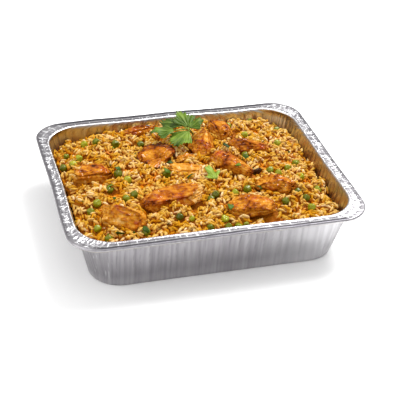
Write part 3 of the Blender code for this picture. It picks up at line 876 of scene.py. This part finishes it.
def make_crumbs(bed):
    """Golden crumbs among the grains: small balls, each stretched and swollen by slow waves."""
    rng = np.random.default_rng(37)
    places = rng.uniform(-1, 1, (CRUMBS, 2)) * (0.88 * RIM.x, 0.86 * RIM.y)
    places = places[~bed.taken[bed.cells(*places.T)]]
    height = bed.level[bed.cells(*places.T)] + 0.1 * MM
    centres = np.column_stack([places, height])
    centres = centres[wall_inside(centres + (0, 0, 2 * MM))]
    points, faces = ball(4, 7)
    count = len(centres)
    shift = rng.uniform(0, 30, (count, 1, 3))
    swell = 1 + 0.22 * waves(points[None] + shift, 1.6, 38)
    size = rng.uniform(0.9, 1.9, (count, 1, 1)) * rng.uniform(0.75, 1.25, (count, 1, 3)) * MM
    turns = turns_of(*rng.uniform(-1.5, 1.5, (3, count)))
    points, faces = copies(points[None] * swell[..., None] * size, faces, turns, centres)
    tint = np.repeat(rng.uniform(0, 1, count), swell.shape[1])
    fields = {"tint": tint, "depth": 0 * tint}
    paint = rice_paint("golden_crumbs", (0.40, 0.15, 0.006), (0.50, 0.24, 0.025), (0.58, 0.35, 0.07))
    add_food(add_piece("golden_crumbs", points, faces, paint, fields), "rice")


# ---------------------------------------------------------------- chicken

CHICKEN_ROWS = 92
CHICKEN_COLUMNS = 84
CHICKEN_LUMPS = 0.04
CHICKEN_SWELL = 1.06  # makes up for what facets and grooves take away
RANDOM_CUTS = 8
CUT_DISTANCES = (0.84, 1.0)
FACET_SOFTNESS = 0.014
BULGE_STEP = 3


def lie_of(node):
    """Centre, axes (long, cross, up) and half sizes of a CAD node, from the spread of its points."""
    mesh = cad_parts[node].data
    points = np.empty(len(mesh.vertices) * 3)
    mesh.vertices.foreach_get("co", points)
    points = np.unique(points.reshape(-1, 3).round(6), axis=0)
    centre = points.mean(0)
    _, ways = np.linalg.eigh(np.cov((points - centre).T))
    along = ways[:, 2] * np.sign(ways[0, 2])
    flat = np.cross((0, 0, 1), along)
    flat /= np.linalg.norm(flat)
    up = np.cross(along, flat)
    axes = np.stack([along, flat, up])
    spread = (points - centre) @ axes.T
    low, high = spread.min(0), spread.max(0)
    return centre + (low + high) / 2 @ axes, axes, (high - low) / 2


def block_shape(boxy):
    """A superellipsoid of half size 1: a grid of points on a sphere, each part raised to a power.

    The last two points are its ends, at -1 and 1 along X. A power of 1 is round, less is boxy.
    """
    rings = np.linspace(0, math.pi, CHICKEN_ROWS + 2)[1:-1, None]
    sides = np.linspace(0, TAU, CHICKEN_COLUMNS, endpoint=False)[None, :]
    sphere = np.stack(
        [-np.cos(rings) + 0 * sides, np.sin(rings) * np.cos(sides), np.sin(rings) * np.sin(sides)], -1
    )
    grid = np.sign(sphere) * np.abs(sphere) ** boxy
    return np.concatenate([grid.reshape(-1, 3), [[-1.0, 0, 0], [1.0, 0, 0]]])


def bulge_of(points):
    """How far (mm) each grid point stands out from the mean of the points a few steps away."""
    grid = points[:-2].reshape(CHICKEN_ROWS, CHICKEN_COLUMNS, 3)
    step = BULGE_STEP
    padded = np.pad(grid, ((step, step), (0, 0), (0, 0)), mode="edge")
    mean = (padded[: -2 * step] + padded[2 * step :] + np.roll(grid, step, 1) + np.roll(grid, -step, 1)) / 4
    outward = grid - grid.mean((0, 1))
    outward /= np.linalg.norm(outward, axis=-1, keepdims=True)
    stand = ((grid - mean) * outward).sum(-1) / MM
    return np.concatenate([stand.ravel(), np.full(2, stand.mean())])


def round_lumps(unit, size, seed):
    """Rounded lumps with creases between: 1 at the nearest of random centres, less by distance squared."""
    rng = np.random.default_rng(seed)
    centres = rng.normal(size=(int(14 / size), 3))
    centres /= np.linalg.norm(centres, axis=1, keepdims=True)
    apart = np.linalg.norm(unit[:, None, :] - centres[None], axis=-1).min(1)
    return 1 - np.minimum(apart / size, 1.3) ** 2


def make_chicken(name, look, seed):
    """One browned piece in place of its solid, shaped in its own axes with half sizes of 1.

    A superellipsoid is tapered and swollen by slow waves and round lumps. Each facet, a direction
    and a distance, flattens what lies beyond its plane, and so do a few random ones. Each groove
    pulls in what lies near its plane, and each pit what lies near its place. Fibres are fine waves
    drawn out along the piece. It is browned most where it bulges, bare facets are pale, and grooves
    and pits are darkened with painted shade.
    """
    centre, axes, half = lie_of("chicken_" + name)
    half = half * look.get("grow", (1, 1, 1))
    unit = block_shape(look.get("boxy", 0.75))
    girth = 1 + look.get("taper", 0) * unit[:, :1]
    unit = unit * np.concatenate([np.ones_like(girth), girth, girth], 1)
    unit = unit * (1 + CHICKEN_LUMPS * waves(unit, 1.5, seed))[:, None]
    if "knobs" in look:
        depth, size = look["knobs"]
        unit = unit * (1 + depth * (round_lumps(unit, size, seed + 2) - 0.6))[:, None]
    unit = unit * CHICKEN_SWELL
    bare = np.zeros(len(unit))
    rng = np.random.default_rng(seed)
    count = look.get("cuts", RANDOM_CUTS)
    cuts = zip(rng.normal(size=(count, 3)), rng.uniform(*CUT_DISTANCES, count), np.zeros(count))
    for way, distance, pale in (*look.get("facets", ()), *cuts):
        way = np.array(way) / np.linalg.norm(way)
        bent = distance + 0.04 * waves(unit, 1.1, seed + 9)
        beyond = FACET_SOFTNESS * np.logaddexp(0, (unit @ way - bent) / FACET_SOFTNESS)
        unit = unit - beyond[:, None] * way
        bare = np.maximum(bare, pale * smooth(0.015, 0.05, beyond))
    # Painted shade: grooves and pits are browned darker where shade falls in them.
    dark = np.zeros(len(unit))
    for way, distance, width, depth in look.get("grooves", ()):
        way = np.array(way) / np.linalg.norm(way)
        bent = unit @ way - distance + 0.06 * waves(unit, 0.9, seed + 3)
        near = np.exp(-((bent / width) ** 2))
        unit = unit * (1 - depth * near)[:, None]
        dark = np.maximum(dark, near)
    for spot, size, depth in look.get("pits", ()):
        away = np.linalg.norm((unit - np.array(spot)) * half, axis=1) / (size * MM)
        near = np.exp(-(away**2))
        unit = unit * (1 - depth * near)[:, None]
        dark = np.maximum(dark, near)
    local = unit * half
    outward = unit / np.linalg.norm(unit, axis=1, keepdims=True)
    strands = waves(local, 2.4 * MM, seed + 4, (7, 1, 1))
    strands = strands + 0.6 * waves(local, 1.3 * MM, seed + 5, (9, 1, 1))
    ragged = smooth(0.72, 1.0, np.abs(unit[:, 0]))
    shred = look.get("shred", 0.3)
    reach = (0.12 + 0.16 * bare + 0.30 * shred + 0.5 * shred * ragged) * strands
    reach = reach + 0.30 * waves(local, 7 * MM, seed + 6) + 0.12 * waves(local, 3 * MM, seed + 10)
    local = local + outward * reach[:, None] * MM
    points = centre + local @ axes
    bulge = bulge_of(points)
    edge = np.clip((bulge - np.median(bulge)) / 0.35, -1, 1.5)
    tone = look["browning"] + 0.05 + 0.08 * outward[:, 2] + 0.12 * edge
    tone = tone + 0.06 * waves(local, 15 * MM, seed + 7) + 0.06 * waves(local, 5 * MM, seed + 11)
    tone = tone * (1 - bare) + (0.12 + 0.10 * waves(local, 7 * MM, seed + 8)) * bare
    # Painted shade in grooves and pits.
    tone = tone + 0.28 * dark
    glaze = np.zeros(len(unit))
    for spot, size, strength in look.get("shades", ()):
        away = np.linalg.norm((unit - np.array(spot)) * half, axis=1) / (size * MM)
        tone = tone + strength * np.exp(-(away**2))
    for spot, size in look.get("glaze", ()):
        away = np.linalg.norm((unit - np.array(spot)) * half, axis=1) / (size * MM)
        glaze = np.maximum(glaze, np.exp(-(away**2)))
    grid = points[:-2].reshape(CHICKEN_ROWS, CHICKEN_COLUMNS, 3)
    _, faces = closed_tube(grid, points[-2], points[-1])
    fields = {"browning": tone, "glaze": glaze, "along": local}
    piece = add_piece("chicken_" + name + "_browned", points, faces, CHICKEN_PAINT, fields)
    add_food(piece, "chicken", "chicken_" + name)
    return points


# Places are in a piece's own axes with half sizes of 1: X along it, Y away from the front, Z up.
# A facet is (direction, distance, paleness), a groove (direction, distance, width, depth), a pit
# (place, mm, depth), a shade (place, mm, added browning) and a glaze (place, mm). Grow widens the
# solid's half sizes, cuts is the number of random facets, and knobs are (depth, size) of lumps.
CHICKEN_LOOKS = {
    "back_left": dict(
        browning=0.42, grow=(1, 1.1, 1.25),
        grooves=(((0, 0.3, 1), 0.45, 0.1, 0.05),),
        shades=(((0.6, 0, 0.9), 3, 0.3),),
        glaze=(((-0.3, -0.5, 0.6), 4),),
    ),
    "folded": dict(
        browning=0.60, boxy=0.8, shred=0.5,
        facets=(((-0.55, -0.35, 0.75), 0.62, 0.55), ((0.2, 0.6, 0.8), 0.75, 0.0)),
        grooves=(((0.7, -0.7, 0.3), 0.1, 0.10, 0.08),),
        pits=(((-0.4, -0.8, 0.5), 7, 0.45), ((-0.9, 0.0, 0.2), 5, 0.15)),
        shades=(((-0.5, 0.16, 0.85), 8, -0.08), ((0.5, 0.5, 0.8), 6, 0.15), ((0.8, -0.6, 0.5), 5, 0.1)),
        glaze=(((0.75, -0.7, 0.5), 4),),
    ),
    "left": dict(
        browning=0.36, boxy=0.7, shred=0.15,
        facets=(((0.05, 0.3, 1), 0.78, 0.0), ((0.9, 0.1, 0.4), 0.85, 0.0)),
        grooves=(((0.08, 0.5, 0.86), 0.0, 0.09, 0.14), ((1, 0.1, 0.2), -0.52, 0.07, 0.10)),
        shades=(
            ((0.05, 0.35, 0.9), 3, 0.6), ((0.8, 0.4, 0.6), 4, 0.25), ((-0.95, -0.3, 0.2), 7, -0.25),
            ((-0.1, -0.95, 0.1), 9, -0.25), ((0.5, -0.3, 0.8), 7, 0.08),
        ),
        glaze=(((0.6, -0.2, 0.8), 5),),
    ),
    "front_left": dict(
        browning=0.25, cuts=3, grow=(1, 1.03, 1.06), boxy=0.72, shred=0.2,
        facets=(
            ((0.0, -0.78, 0.63), 0.62, 0.0), ((0.1, 0.75, 0.65), 0.55, 0.0), ((0.75, 0.3, 0.5), 0.78, 0.0),
            # The first facet on the next line, pale along the upper right ridge, is a painted highlight.
            ((0.5, 0.12, 0.86), 0.80, 1.0), ((-0.85, -0.2, 0.5), 0.78, 0.0),
        ),
        shades=(
            ((-0.3, -0.15, 0.85), 7, 0.14), ((0.1, -0.35, 0.72), 5, 0.08), ((0.2, -0.75, 0.4), 1.3, 0.6),
            ((0.62, -0.8, 0.0), 4.0, 0.45), ((-0.45, -0.75, 0.3), 2.0, 0.3), ((-0.2, -0.9, 0.0), 6, -0.2),
            ((-0.05, -0.85, 0.15), 1.0, 0.4), ((-0.2, -0.8, -0.1), 1.0, 0.4), ((0.4, -0.4, 0.6), 3.5, 0.08),
        ),
        glaze=(((0.62, -0.8, 0.0), 3), ((-0.3, -0.2, 0.8), 5)),
    ),
    "long_strip": dict(
        browning=0.37, cuts=4, boxy=0.7, shred=0.2, taper=0.14,
        facets=(((1, -0.3, 0.15), 0.82, 1.0), ((0, -0.2, 1), 0.80, 0.0), ((0, -1, 0.2), 0.84, 0.0)),
        grooves=(((0.03, 0.5, 0.86), 0.18, 0.04, 0.04), ((0.03, 0.6, 0.8), -0.1, 0.04, 0.05)),
        shades=(
            ((-0.05, -0.25, 0.8), 1.9, 0.6), ((-0.27, -0.8, 0.5), 2.1, 0.5), ((-0.9, -0.2, 0.2), 7, 0.16),
            ((-0.5, -0.6, 0.5), 8, 0.04), ((0.5, -0.6, 0.5), 10, -0.08), ((0.86, 0.2, 0.8), 3, -0.2),
        ),
        glaze=(((0.1, -0.6, 0.6), 6), ((-0.5, -0.4, 0.6), 7)),
    ),
    "small_chip": dict(browning=0.26, boxy=0.9, grow=(1, 1.1, 1.15), shades=(((0.5, 0, 0.8), 3, -0.1),)),
    "flaked": dict(
        browning=0.22, shred=1.3, taper=-0.2, grow=(1.05, 1.05, 1.4),
        facets=(((0, -0.5, 0.86), 0.68, 0.6), ((0.2, 0.3, 0.9), 0.72, 0.3)),
        grooves=(((0.1, 0.7, 0.7), 0.1, 0.07, 0.10), ((-0.1, 0.8, 0.5), -0.3, 0.06, 0.08)),
    ),
    "pointed": dict(
        browning=0.36, boxy=0.7, shred=0.15, taper=-0.12, grow=(1.0, 1.04, 1.04),
        facets=(
            ((0.25, -0.85, 0.45), 0.66, 0.0), ((0.1, 0.5, 0.85), 0.66, 0.0), ((-0.8, 0.05, 0.6), 0.74, 0.0),
            # The thin pale facet along the ridge is a painted highlight.
            ((0.1, -0.4, 0.92), 0.78, 0.9),
        ),
        shades=(((-0.5, -0.95, 0.2), 2.6, 0.6), ((-0.5, 0.2, 0.7), 6, 0.12), ((0.2, 0.5, 0.7), 8, -0.08)),
        glaze=(((-0.6, -0.5, 0.5), 5), ((-0.8, 0.1, 0.4), 4.5), ((-0.3, 0.1, 0.8), 4)),
    ),
    "back_middle": dict(
        browning=0.33, grow=(1, 1.08, 1.12), boxy=0.85, shred=0.4, taper=-0.08,
        facets=(((0.8, -0.5, 0.3), 0.85, 0.5),),
        grooves=(((0.3, 0.9, 0.2), -0.35, 0.08, 0.05),),
        shades=(
            ((0.85, -0.3, 0.5), 2.6, 0.65), ((0.4, 0.5, 0.8), 2.0, 0.4), ((0.1, 0.7, 0.7), 1.6, 0.4),
            ((0.55, 0.2, 0.85), 1.4, 0.4), ((-0.6, 0.1, 0.8), 5, 0.1),
        ),
        glaze=(((0.3, 0.4, 0.8), 3.5),),
    ),
    "centre_right": dict(
        browning=0.34, boxy=0.82, shred=0.12, grow=(1, 1.05, 1.05),
        facets=(((0.5, 0.55, 0.65), 0.84, 0.0),),
        grooves=(((1, 0.3, -0.2), -0.35, 0.10, 0.05), ((0.2, 0.8, -0.5), 0.05, 0.06, 0.04)),
        shades=(
            ((-0.95, 0.3, 0.4), 2.6, 0.6), ((-0.55, -0.3, 0.6), 9, 0.06), ((0.65, 0.4, 0.6), 9, -0.1),
            ((1.0, 0.0, 0.2), 3.5, 0.45), ((0.7, -0.7, 0.3), 4, 0.15),
        ),
        glaze=(((0.0, 0.1, 0.95), 2.6), ((0.35, -0.3, 0.8), 2.6), ((-0.6, -0.1, 0.7), 6)),
    ),
    "back_right": dict(
        browning=0.44, boxy=0.8, grow=(1.0, 1.08, 1.08),
        facets=(((-0.25, -0.7, 0.6), 0.70, 0.0), ((0.3, 0.2, 0.9), 0.80, 0.0)),
        grooves=(((1, 0.3, 0.3), 0.15, 0.06, 0.05),),
        shades=(((-0.4, -0.5, 0.5), 8, 0.12), ((0.6, -0.4, 0.7), 4, 0.2), ((0.3, 0.1, 0.95), 5, -0.2)),
        glaze=(((0.75, -0.5, 0.4), 3.5),),
    ),
    "right_knobbly": dict(
        browning=0.33, boxy=0.9, shred=0.5, knobs=(0.20, 0.62), grow=(1, 1.08, 1.12),
        shades=(((-0.4, -0.8, 0.2), 4, 0.25), ((-0.5, -0.3, 0.7), 6, -0.05), ((0.9, -0.5, 0), 4, 0.2)),
        glaze=(((0.4, 0.0, 0.9), 4), ((0.6, -0.5, 0.5), 3), ((-0.3, -0.9, 0.1), 4)),
    ),
    "front_knobbly": dict(
        browning=0.32, boxy=0.85, shred=0.5, knobs=(0.16, 0.55),
        grooves=(((1, -0.2, 0.3), 0.05, 0.08, 0.12),),
        shades=(((0.5, -0.1, 0.8), 8, -0.12), ((0.0, 0.1, 0.95), 4, 0.16), ((0.3, -0.9, 0), 6, 0.22)),
        glaze=(((0.05, 0.1, 0.9), 4), ((0.6, 0.2, 0.8), 3.5), ((-0.7, -0.5, 0.4), 3)),
    ),
    "charred_bit": dict(browning=1.0, boxy=0.9, shred=0.3),
}


# ---------------------------------------------------------------- peas and small toppings

PEA_NODES = sorted(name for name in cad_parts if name.startswith("pea_"))
SMALL_PEAS = np.array([(-28, -91), (27, -107), (100, 106), (-132, 70)]) * MM
SMALL_PEA_RADIUS = 3.4 * MM


def pea_shape(count, seed):
    """Peas of radius 1 as (count, points, 3): spheres with a soft dimple and shallow wrinkles."""
    points, faces = ball(15, 20)
    rng = np.random.default_rng(seed)
    dent = rng.normal(size=(count, 3)) + (0, 0, 1.2)
    dent /= np.linalg.norm(dent, axis=1, keepdims=True)
    depth = np.where(rng.random(count) < 0.55, rng.uniform(0.25, 0.5, count), 0.05)[:, None]
    near = np.exp(-(((1 - dent @ points.T) / 0.20) ** 2))
    shift = rng.uniform(0, 30, (count, 1, 3))
    wrinkle = waves(points[None] + shift, 1.1, seed)
    size = 1 - depth * near + 0.06 * wrinkle
    return points[None] * size[..., None], faces


def make_peas():
    """Every pea over its own solid, and a few small ones, as one piece."""
    boxes = [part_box(name) for name in PEA_NODES]
    centres = np.array([(low + high) / 2 for low, high in boxes])
    radius = np.array([(high.x - low.x) / 2 for low, high in boxes])
    small = np.column_stack([SMALL_PEAS, rice_height(*SMALL_PEAS.T) + 0.5 * MM])
    centres = np.concatenate([centres, small])
    rng = np.random.default_rng(40)
    radius = np.concatenate([radius, np.full(len(small), SMALL_PEA_RADIUS)])
    radius = radius * rng.uniform(0.9, 1.06, len(centres))
    shapes, faces = pea_shape(len(centres), 41)
    angles = rng.uniform(-0.5, 0.5, (3, len(centres)))
    points, faces = copies(shapes * radius[:, None, None], faces, turns_of(*angles), centres)
    tint = np.repeat(rng.beta(2, 2.6, len(centres)), shapes.shape[1])
    peas = add_piece("peas", points, faces, pea_paint(), {"tint": tint})
    add_food(peas, "pea", *PEA_NODES)
    return points


LEAF_COLUMNS = 121
LEAF_ROWS = 14
LEAF_THICKNESS = 0.35 * MM


def leaf_shape(lobes, teeth, lobe_depth):
    """A lobed leaf of length 1 as a fan of rays: shares of its spread and length, and its outline.

    The outline is a falling bow times a wave for the lobes and a small sawtooth for the teeth.
    """
    share = np.linspace(-1, 1, LEAF_COLUMNS)
    out = np.linspace(0, 1, LEAF_ROWS)[1:]
    wave = 0.5 + 0.5 * np.cos(math.pi * (lobes - 1) * share)
    saw = np.abs((share * teeth) % 1 - 0.5) * 2
    edge = (1 - 0.34 * share**2) * (1 - lobe_depth * (1 - wave)) * (1 - 0.15 * saw)
    return share, out, edge


def make_leaf(name, base, turn, rise, length, spread, look, seed):
    """A leaf: the fan of rays, drooping along its midrib, cupped between its veins and wavy outside."""
    lobes, teeth, lobe_depth, tint = look
    share, out, edge = leaf_shape(lobes, teeth, lobe_depth)
    angle = share * math.radians(spread)
    reach = out[:, None] * edge[None, :] * length
    x = reach * np.cos(angle)
    y = reach * np.sin(angle)
    ribs = np.abs((share * (lobes - 0.5)) % 1 - 0.5) * 2
    droop = length * (0.06 * share**2 * out[:, None] - 0.12 * out[:, None] ** 2)
    cup = 0.035 * length * (1 - ribs) * np.sin(math.pi * out[:, None])
    flat = np.stack([x, y, 0 * x], -1)
    wave = out[:, None] ** 2 * 0.05 * length * waves(flat, 0.5 * length, seed)
    local = np.stack([x, y, droop - cup + wave], -1)
    place = Matrix.Rotation(math.radians(turn), 3, "Z") @ Matrix.Rotation(-math.radians(rise), 3, "Y")
    points = np.concatenate([(local @ np.array(place).T).reshape(-1, 3), [[0, 0, 0]]]) + np.array(base)
    rows, columns = x.shape
    quads = grid_faces(rows, columns, wrap=False)
    tip = np.full(columns - 1, rows * columns)
    fan = np.stack([tip, np.arange(columns - 1), np.arange(1, columns)], -1)
    rib = smooth(0.80, 1.0, ribs) * (1 - 0.6 * out[:, None]) + smooth(0.86, 1.0, 1 - np.abs(share)) * 0.8
    side = np.abs((share * teeth) % 1 - 0.5) * 2
    rib = np.maximum(rib, 0.45 * smooth(0.75, 1.0, side) * smooth(0.25, 0.6, out[:, None]))
    vein = np.append(rib.ravel(), 1.0)
    tone = np.append((tint + 0.12 * waves(flat, 0.6 * length, seed + 1)).ravel(), tint)
    fields = {"vein": vein, "tint": tone}
    leaf = add_piece(name, points, [quads[:, ::-1], fan[:, ::-1]], HERB_PAINT, fields)
    blade = leaf.modifiers.new("blade", "SOLIDIFY")
    blade.thickness = LEAF_THICKNESS
    blade.offset = 0.0
    return add_food(leaf, "herb")


def make_stem(name, points, radii):
    """A round stem: circles carried along a path of points, each with its radius."""
    path = np.array(points)
    ahead = np.gradient(path, axis=0)
    ahead /= np.linalg.norm(ahead, axis=1, keepdims=True)
    side = np.cross(ahead, (0.3, 0.2, 1.0))
    side /= np.linalg.norm(side, axis=1, keepdims=True)
    over = np.cross(ahead, side)
    angle = np.linspace(0, TAU, 10, endpoint=False)[None, :, None]
    ring = np.cos(angle) * side[:, None, :] + np.sin(angle) * over[:, None, :]
    tube = path[:, None, :] + ring * np.array(radii)[:, None, None]
    body, faces = closed_tube(tube[:, ::-1], path[0], path[-1])
    fields = {"vein": np.full(len(body), 0.6), "tint": np.full(len(body), 0.6)}
    stem = add_piece(name, body, faces, HERB_PAINT, fields)
    return add_food(stem, "herb")


SPRIG_JOINT = np.array((8.5, 60.5, 79.5)) * MM  # 3.6 mm from where the sprig's solid has it
SPRIG_FOOT = np.array((17.0, 68.0, 62.5)) * MM
# Base from the joint (mm), turn and rise (degrees), length (mm), half spread (degrees), then
# lobes, teeth, lobe depth and tint.
SPRIG_LEAVES = (
    ((-16, -2, 1), 165, 2, 30, 52, (3, 5, 0.20, 0.48)),
    ((-4, 7, 0), 139, 5, 31, 44, (3, 5, 0.18, 0.22)),
    ((1, 3, 0), 100, 24, 31, 50, (3, 5, 0.22, 0.42)),
    ((2, 1, 0), 20, 34, 20, 62, (3, 4, 0.22, 0.40)),
    ((0, -4, 0), -146, -6, 31, 52, (3, 6, 0.08, 0.62)),
)


def make_sprig():
    """Five leaves on short stems from one joint, with a main stem down to the rice."""
    share = np.linspace(0, 1, 9)[:, None]
    main = SPRIG_FOOT + (SPRIG_JOINT - SPRIG_FOOT) * share
    main[:, 0] += 2 * MM * np.sin(math.pi * share[:, 0])
    stem = make_stem("sprig_stem", main, np.linspace(1.0, 0.8, 9) * MM)
    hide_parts("herb_sprig")
    for number, (offset, turn, rise, length, spread, look) in enumerate(SPRIG_LEAVES, 1):
        base = SPRIG_JOINT + np.array(offset) * MM
        make_leaf(f"sprig_leaf_{number}", base, turn, rise, length * MM, spread, look, 50 + number)
        inwards = np.array(offset) / np.linalg.norm(offset)
        run = SPRIG_JOINT + (base + 1.5 * MM * inwards - SPRIG_JOINT) * np.linspace(0, 1, 5)[:, None]
        make_stem(f"sprig_leaf_stem_{number}", run, np.linspace(0.75, 0.5, 5) * MM)


LONE_LEAF_FOOT = np.array((18.5, -26.0)) * MM  # 10.3 mm from its solid's, nearer the front


def make_lone_leaf():
    """The bright leaf that stands in the rice."""
    x, y = LONE_LEAF_FOOT
    base = (x, y, rice_height(x, y) + 1.5 * MM)
    leaf = make_leaf("herb_leaf_fresh", base, 118, 36, 21 * MM, 60, (3, 3, 0.45, 1.0), 60)
    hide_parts("herb_leaf")


HERB_BITS = np.array((
    (62, 10), (94, 52), (48, 36), (45, -15), (-84, 9), (-99, -16), (-80, -102), (-106, -97),
    (59, -54), (16, -84), (-24, 22), (-10, -17), (-33, -4),
)) * MM


SCRAP_PLACES = 60  # random places, of which those on the rice are kept
SMALL_SCRAPS = 34  # the most of them that get a scrap


def make_herb_bits(bed):
    """Chopped leaf: small curved scraps on the rice, each a bowed grid cut to a random outline."""
    rng = np.random.default_rng(70)
    spare = rng.uniform(-1, 1, (SCRAP_PLACES, 2)) * (0.85 * RIM.x, 0.82 * RIM.y)
    spare = spare[~bed.taken[bed.cells(*spare.T)]][:SMALL_SCRAPS]
    places = np.concatenate([HERB_BITS, spare])
    count = len(places)
    sizes = [rng.uniform(3.0, 4.2, len(HERB_BITS)), rng.uniform(0.9, 2.0, len(spare))]
    size = np.concatenate(sizes) * MM
    angle = np.linspace(0, TAU, 10, endpoint=False)
    shares = np.array([0.55, 1.0])[:, None]
    outline = 1 + 0.3 * np.sin(3 * angle + rng.uniform(0, TAU, (count, 1)))
    x = shares * np.cos(angle) * outline[:, None, :] * 1.25
    y = shares * np.sin(angle) * outline[:, None, :] * 0.75
    bow = rng.uniform(0.1, 0.5, (count, 1, 1))
    z = -bow * (x**2) + 0.2 * np.sin(2.5 * y)
    top = np.stack([x, y, z + 0.06], -1)
    under = np.stack([x, y, z - 0.06], -1)
    rings = np.concatenate([under, top[:, ::-1]], 1)
    _, faces = closed_tube(rings[0], rings[0, 0, 0], rings[0, -1, 0])
    tips = np.zeros((count, 2, 3)) + np.array([[[0, 0, -0.06]], [[0, 0, 0.06]]])[:, 0][None]
    shapes = np.concatenate([rings.reshape(count, -1, 3), tips], 1) * size[:, None, None]
    turns = turns_of(rng.uniform(0, TAU, count), rng.normal(0, 0.5, count), rng.normal(0, 0.5, count))
    height = bed.level[bed.cells(*places.T)] + 0.4 * size
    points, faces = copies(shapes, faces, turns, np.column_stack([places, height]))
    tint = np.repeat(rng.uniform(0.0, 0.7, count), shapes.shape[1])
    fields = {"vein": np.zeros(len(points)), "tint": tint}
    add_food(add_piece("herb_bits", points, faces, HERB_PAINT, fields), "herb")


# ---------------------------------------------------------------- stage

VIEW_TURN = math.radians(-17.42)
VIEW_RISE = math.radians(33.15)
VIEW_ROLL = math.radians(3.16)
VIEW_DISTANCE = 1.2106
VIEW_TARGET = Vector((-0.00058, -0.02884, 0.040))
LENS = 98.65  # mm, on a sensor 36 mm wide
SENSOR = 36.0
# Place and target (m), size (m) and power (W).
KEY_LAMP = ((0.9, 0.6, 1.75), (0, 0, 0), 1.0, 50)
FILL_LAMP = ((-1.6, -0.4, 1.2), (0, 0, 0.03), 1.4, 13)
SKY_STRENGTH = 1.2
FLOOR_REACH = 4.0


def aim_camera():
    """The camera on a sphere about its target, turned, raised and rolled."""
    back = Vector((
        math.sin(VIEW_TURN) * math.cos(VIEW_RISE),
        -math.cos(VIEW_TURN) * math.cos(VIEW_RISE),
        math.sin(VIEW_RISE),
    ))
    right = Vector((math.cos(VIEW_TURN), math.sin(VIEW_TURN), 0))
    up = back.cross(right)
    turned_right = right * math.cos(VIEW_ROLL) + up * math.sin(VIEW_ROLL)
    turned_up = up * math.cos(VIEW_ROLL) - right * math.sin(VIEW_ROLL)
    data = bpy.data.cameras.new("camera")
    data.lens = LENS
    data.sensor_width = SENSOR
    data.clip_start = 0.05
    camera = bpy.data.objects.new("camera", data)
    bpy.context.scene.collection.objects.link(camera)
    pose = Matrix((turned_right, turned_up, back)).transposed().to_4x4()
    camera.matrix_world = Matrix.Translation(VIEW_TARGET + back * VIEW_DISTANCE) @ pose
    bpy.context.scene.camera = camera


def add_lamp(name, place, target, size, power):
    """A square soft lamp that faces a target."""
    data = bpy.data.lights.new(name, "AREA")
    data.size = size
    data.energy = power
    lamp = bpy.data.objects.new(name, data)
    bpy.context.scene.collection.objects.link(lamp)
    way = Vector(target) - Vector(place)
    lamp.matrix_world = Matrix.Translation(place) @ way.to_track_quat("-Z", "Y").to_matrix().to_4x4()


def set_stage():
    """A white floor under soft light: a key from the back right, a fill from the left, a pale sky."""
    floor_paint = Paint("white_floor", roughness=0.8)
    cloud = floor_paint.noise(0.5, 1.0)
    floor_paint.feed(base_color=floor_paint.mix(cloud, (0.95, 0.95, 0.95), (0.97, 0.97, 0.97)))
    corners = FLOOR_REACH * np.array(((-1, -1, 0), (1, -1, 0), (1, 1, 0), (-1, 1, 0)))
    floor = add_piece("floor", corners, [np.array([[0, 1, 2, 3]])], floor_paint.material)
    add_lamp("key_lamp", *KEY_LAMP)
    add_lamp("fill_lamp", *FILL_LAMP)
    world = bpy.data.worlds.new("pale_sky")
    bpy.context.scene.world = world
    world.use_nodes = True
    tree = world.node_tree
    way = tree.nodes.new("ShaderNodeTexCoord")
    parts = tree.nodes.new("ShaderNodeSeparateXYZ")
    sky = tree.nodes.new("ShaderNodeValToRGB")
    tree.links.new(way.outputs["Generated"], parts.inputs[0])
    tree.links.new(parts.outputs["Z"], sky.inputs[0])
    tree.links.new(sky.outputs[0], tree.nodes["Background"].inputs["Color"])
    for stop, position, grey in zip(sky.color_ramp.elements, (0.0, 0.9), (0.25, 1.0)):
        stop.position = position
        stop.color = (grey, grey, grey, 1.0)
    tree.nodes["Background"].inputs["Strength"].default_value = SKY_STRENGTH
    bpy.context.scene.view_settings.view_transform = "Standard"


# ---------------------------------------------------------------- making

CHICKEN_PAINT = chicken_paint()
HERB_PAINT = herb_paint()

aim_camera()
set_stage()
make_tray()
make_core()
bed = Bed()
for number, (name, look) in enumerate(CHICKEN_LOOKS.items()):
    bed.take(make_chicken(name, look, 100 + 20 * number), 1.2 * MM)
bed.take(make_peas(), 1.5 * MM)
make_rice(bed)
make_crumbs(bed)
make_herb_bits(bed)
make_sprig()
make_lone_leaf()
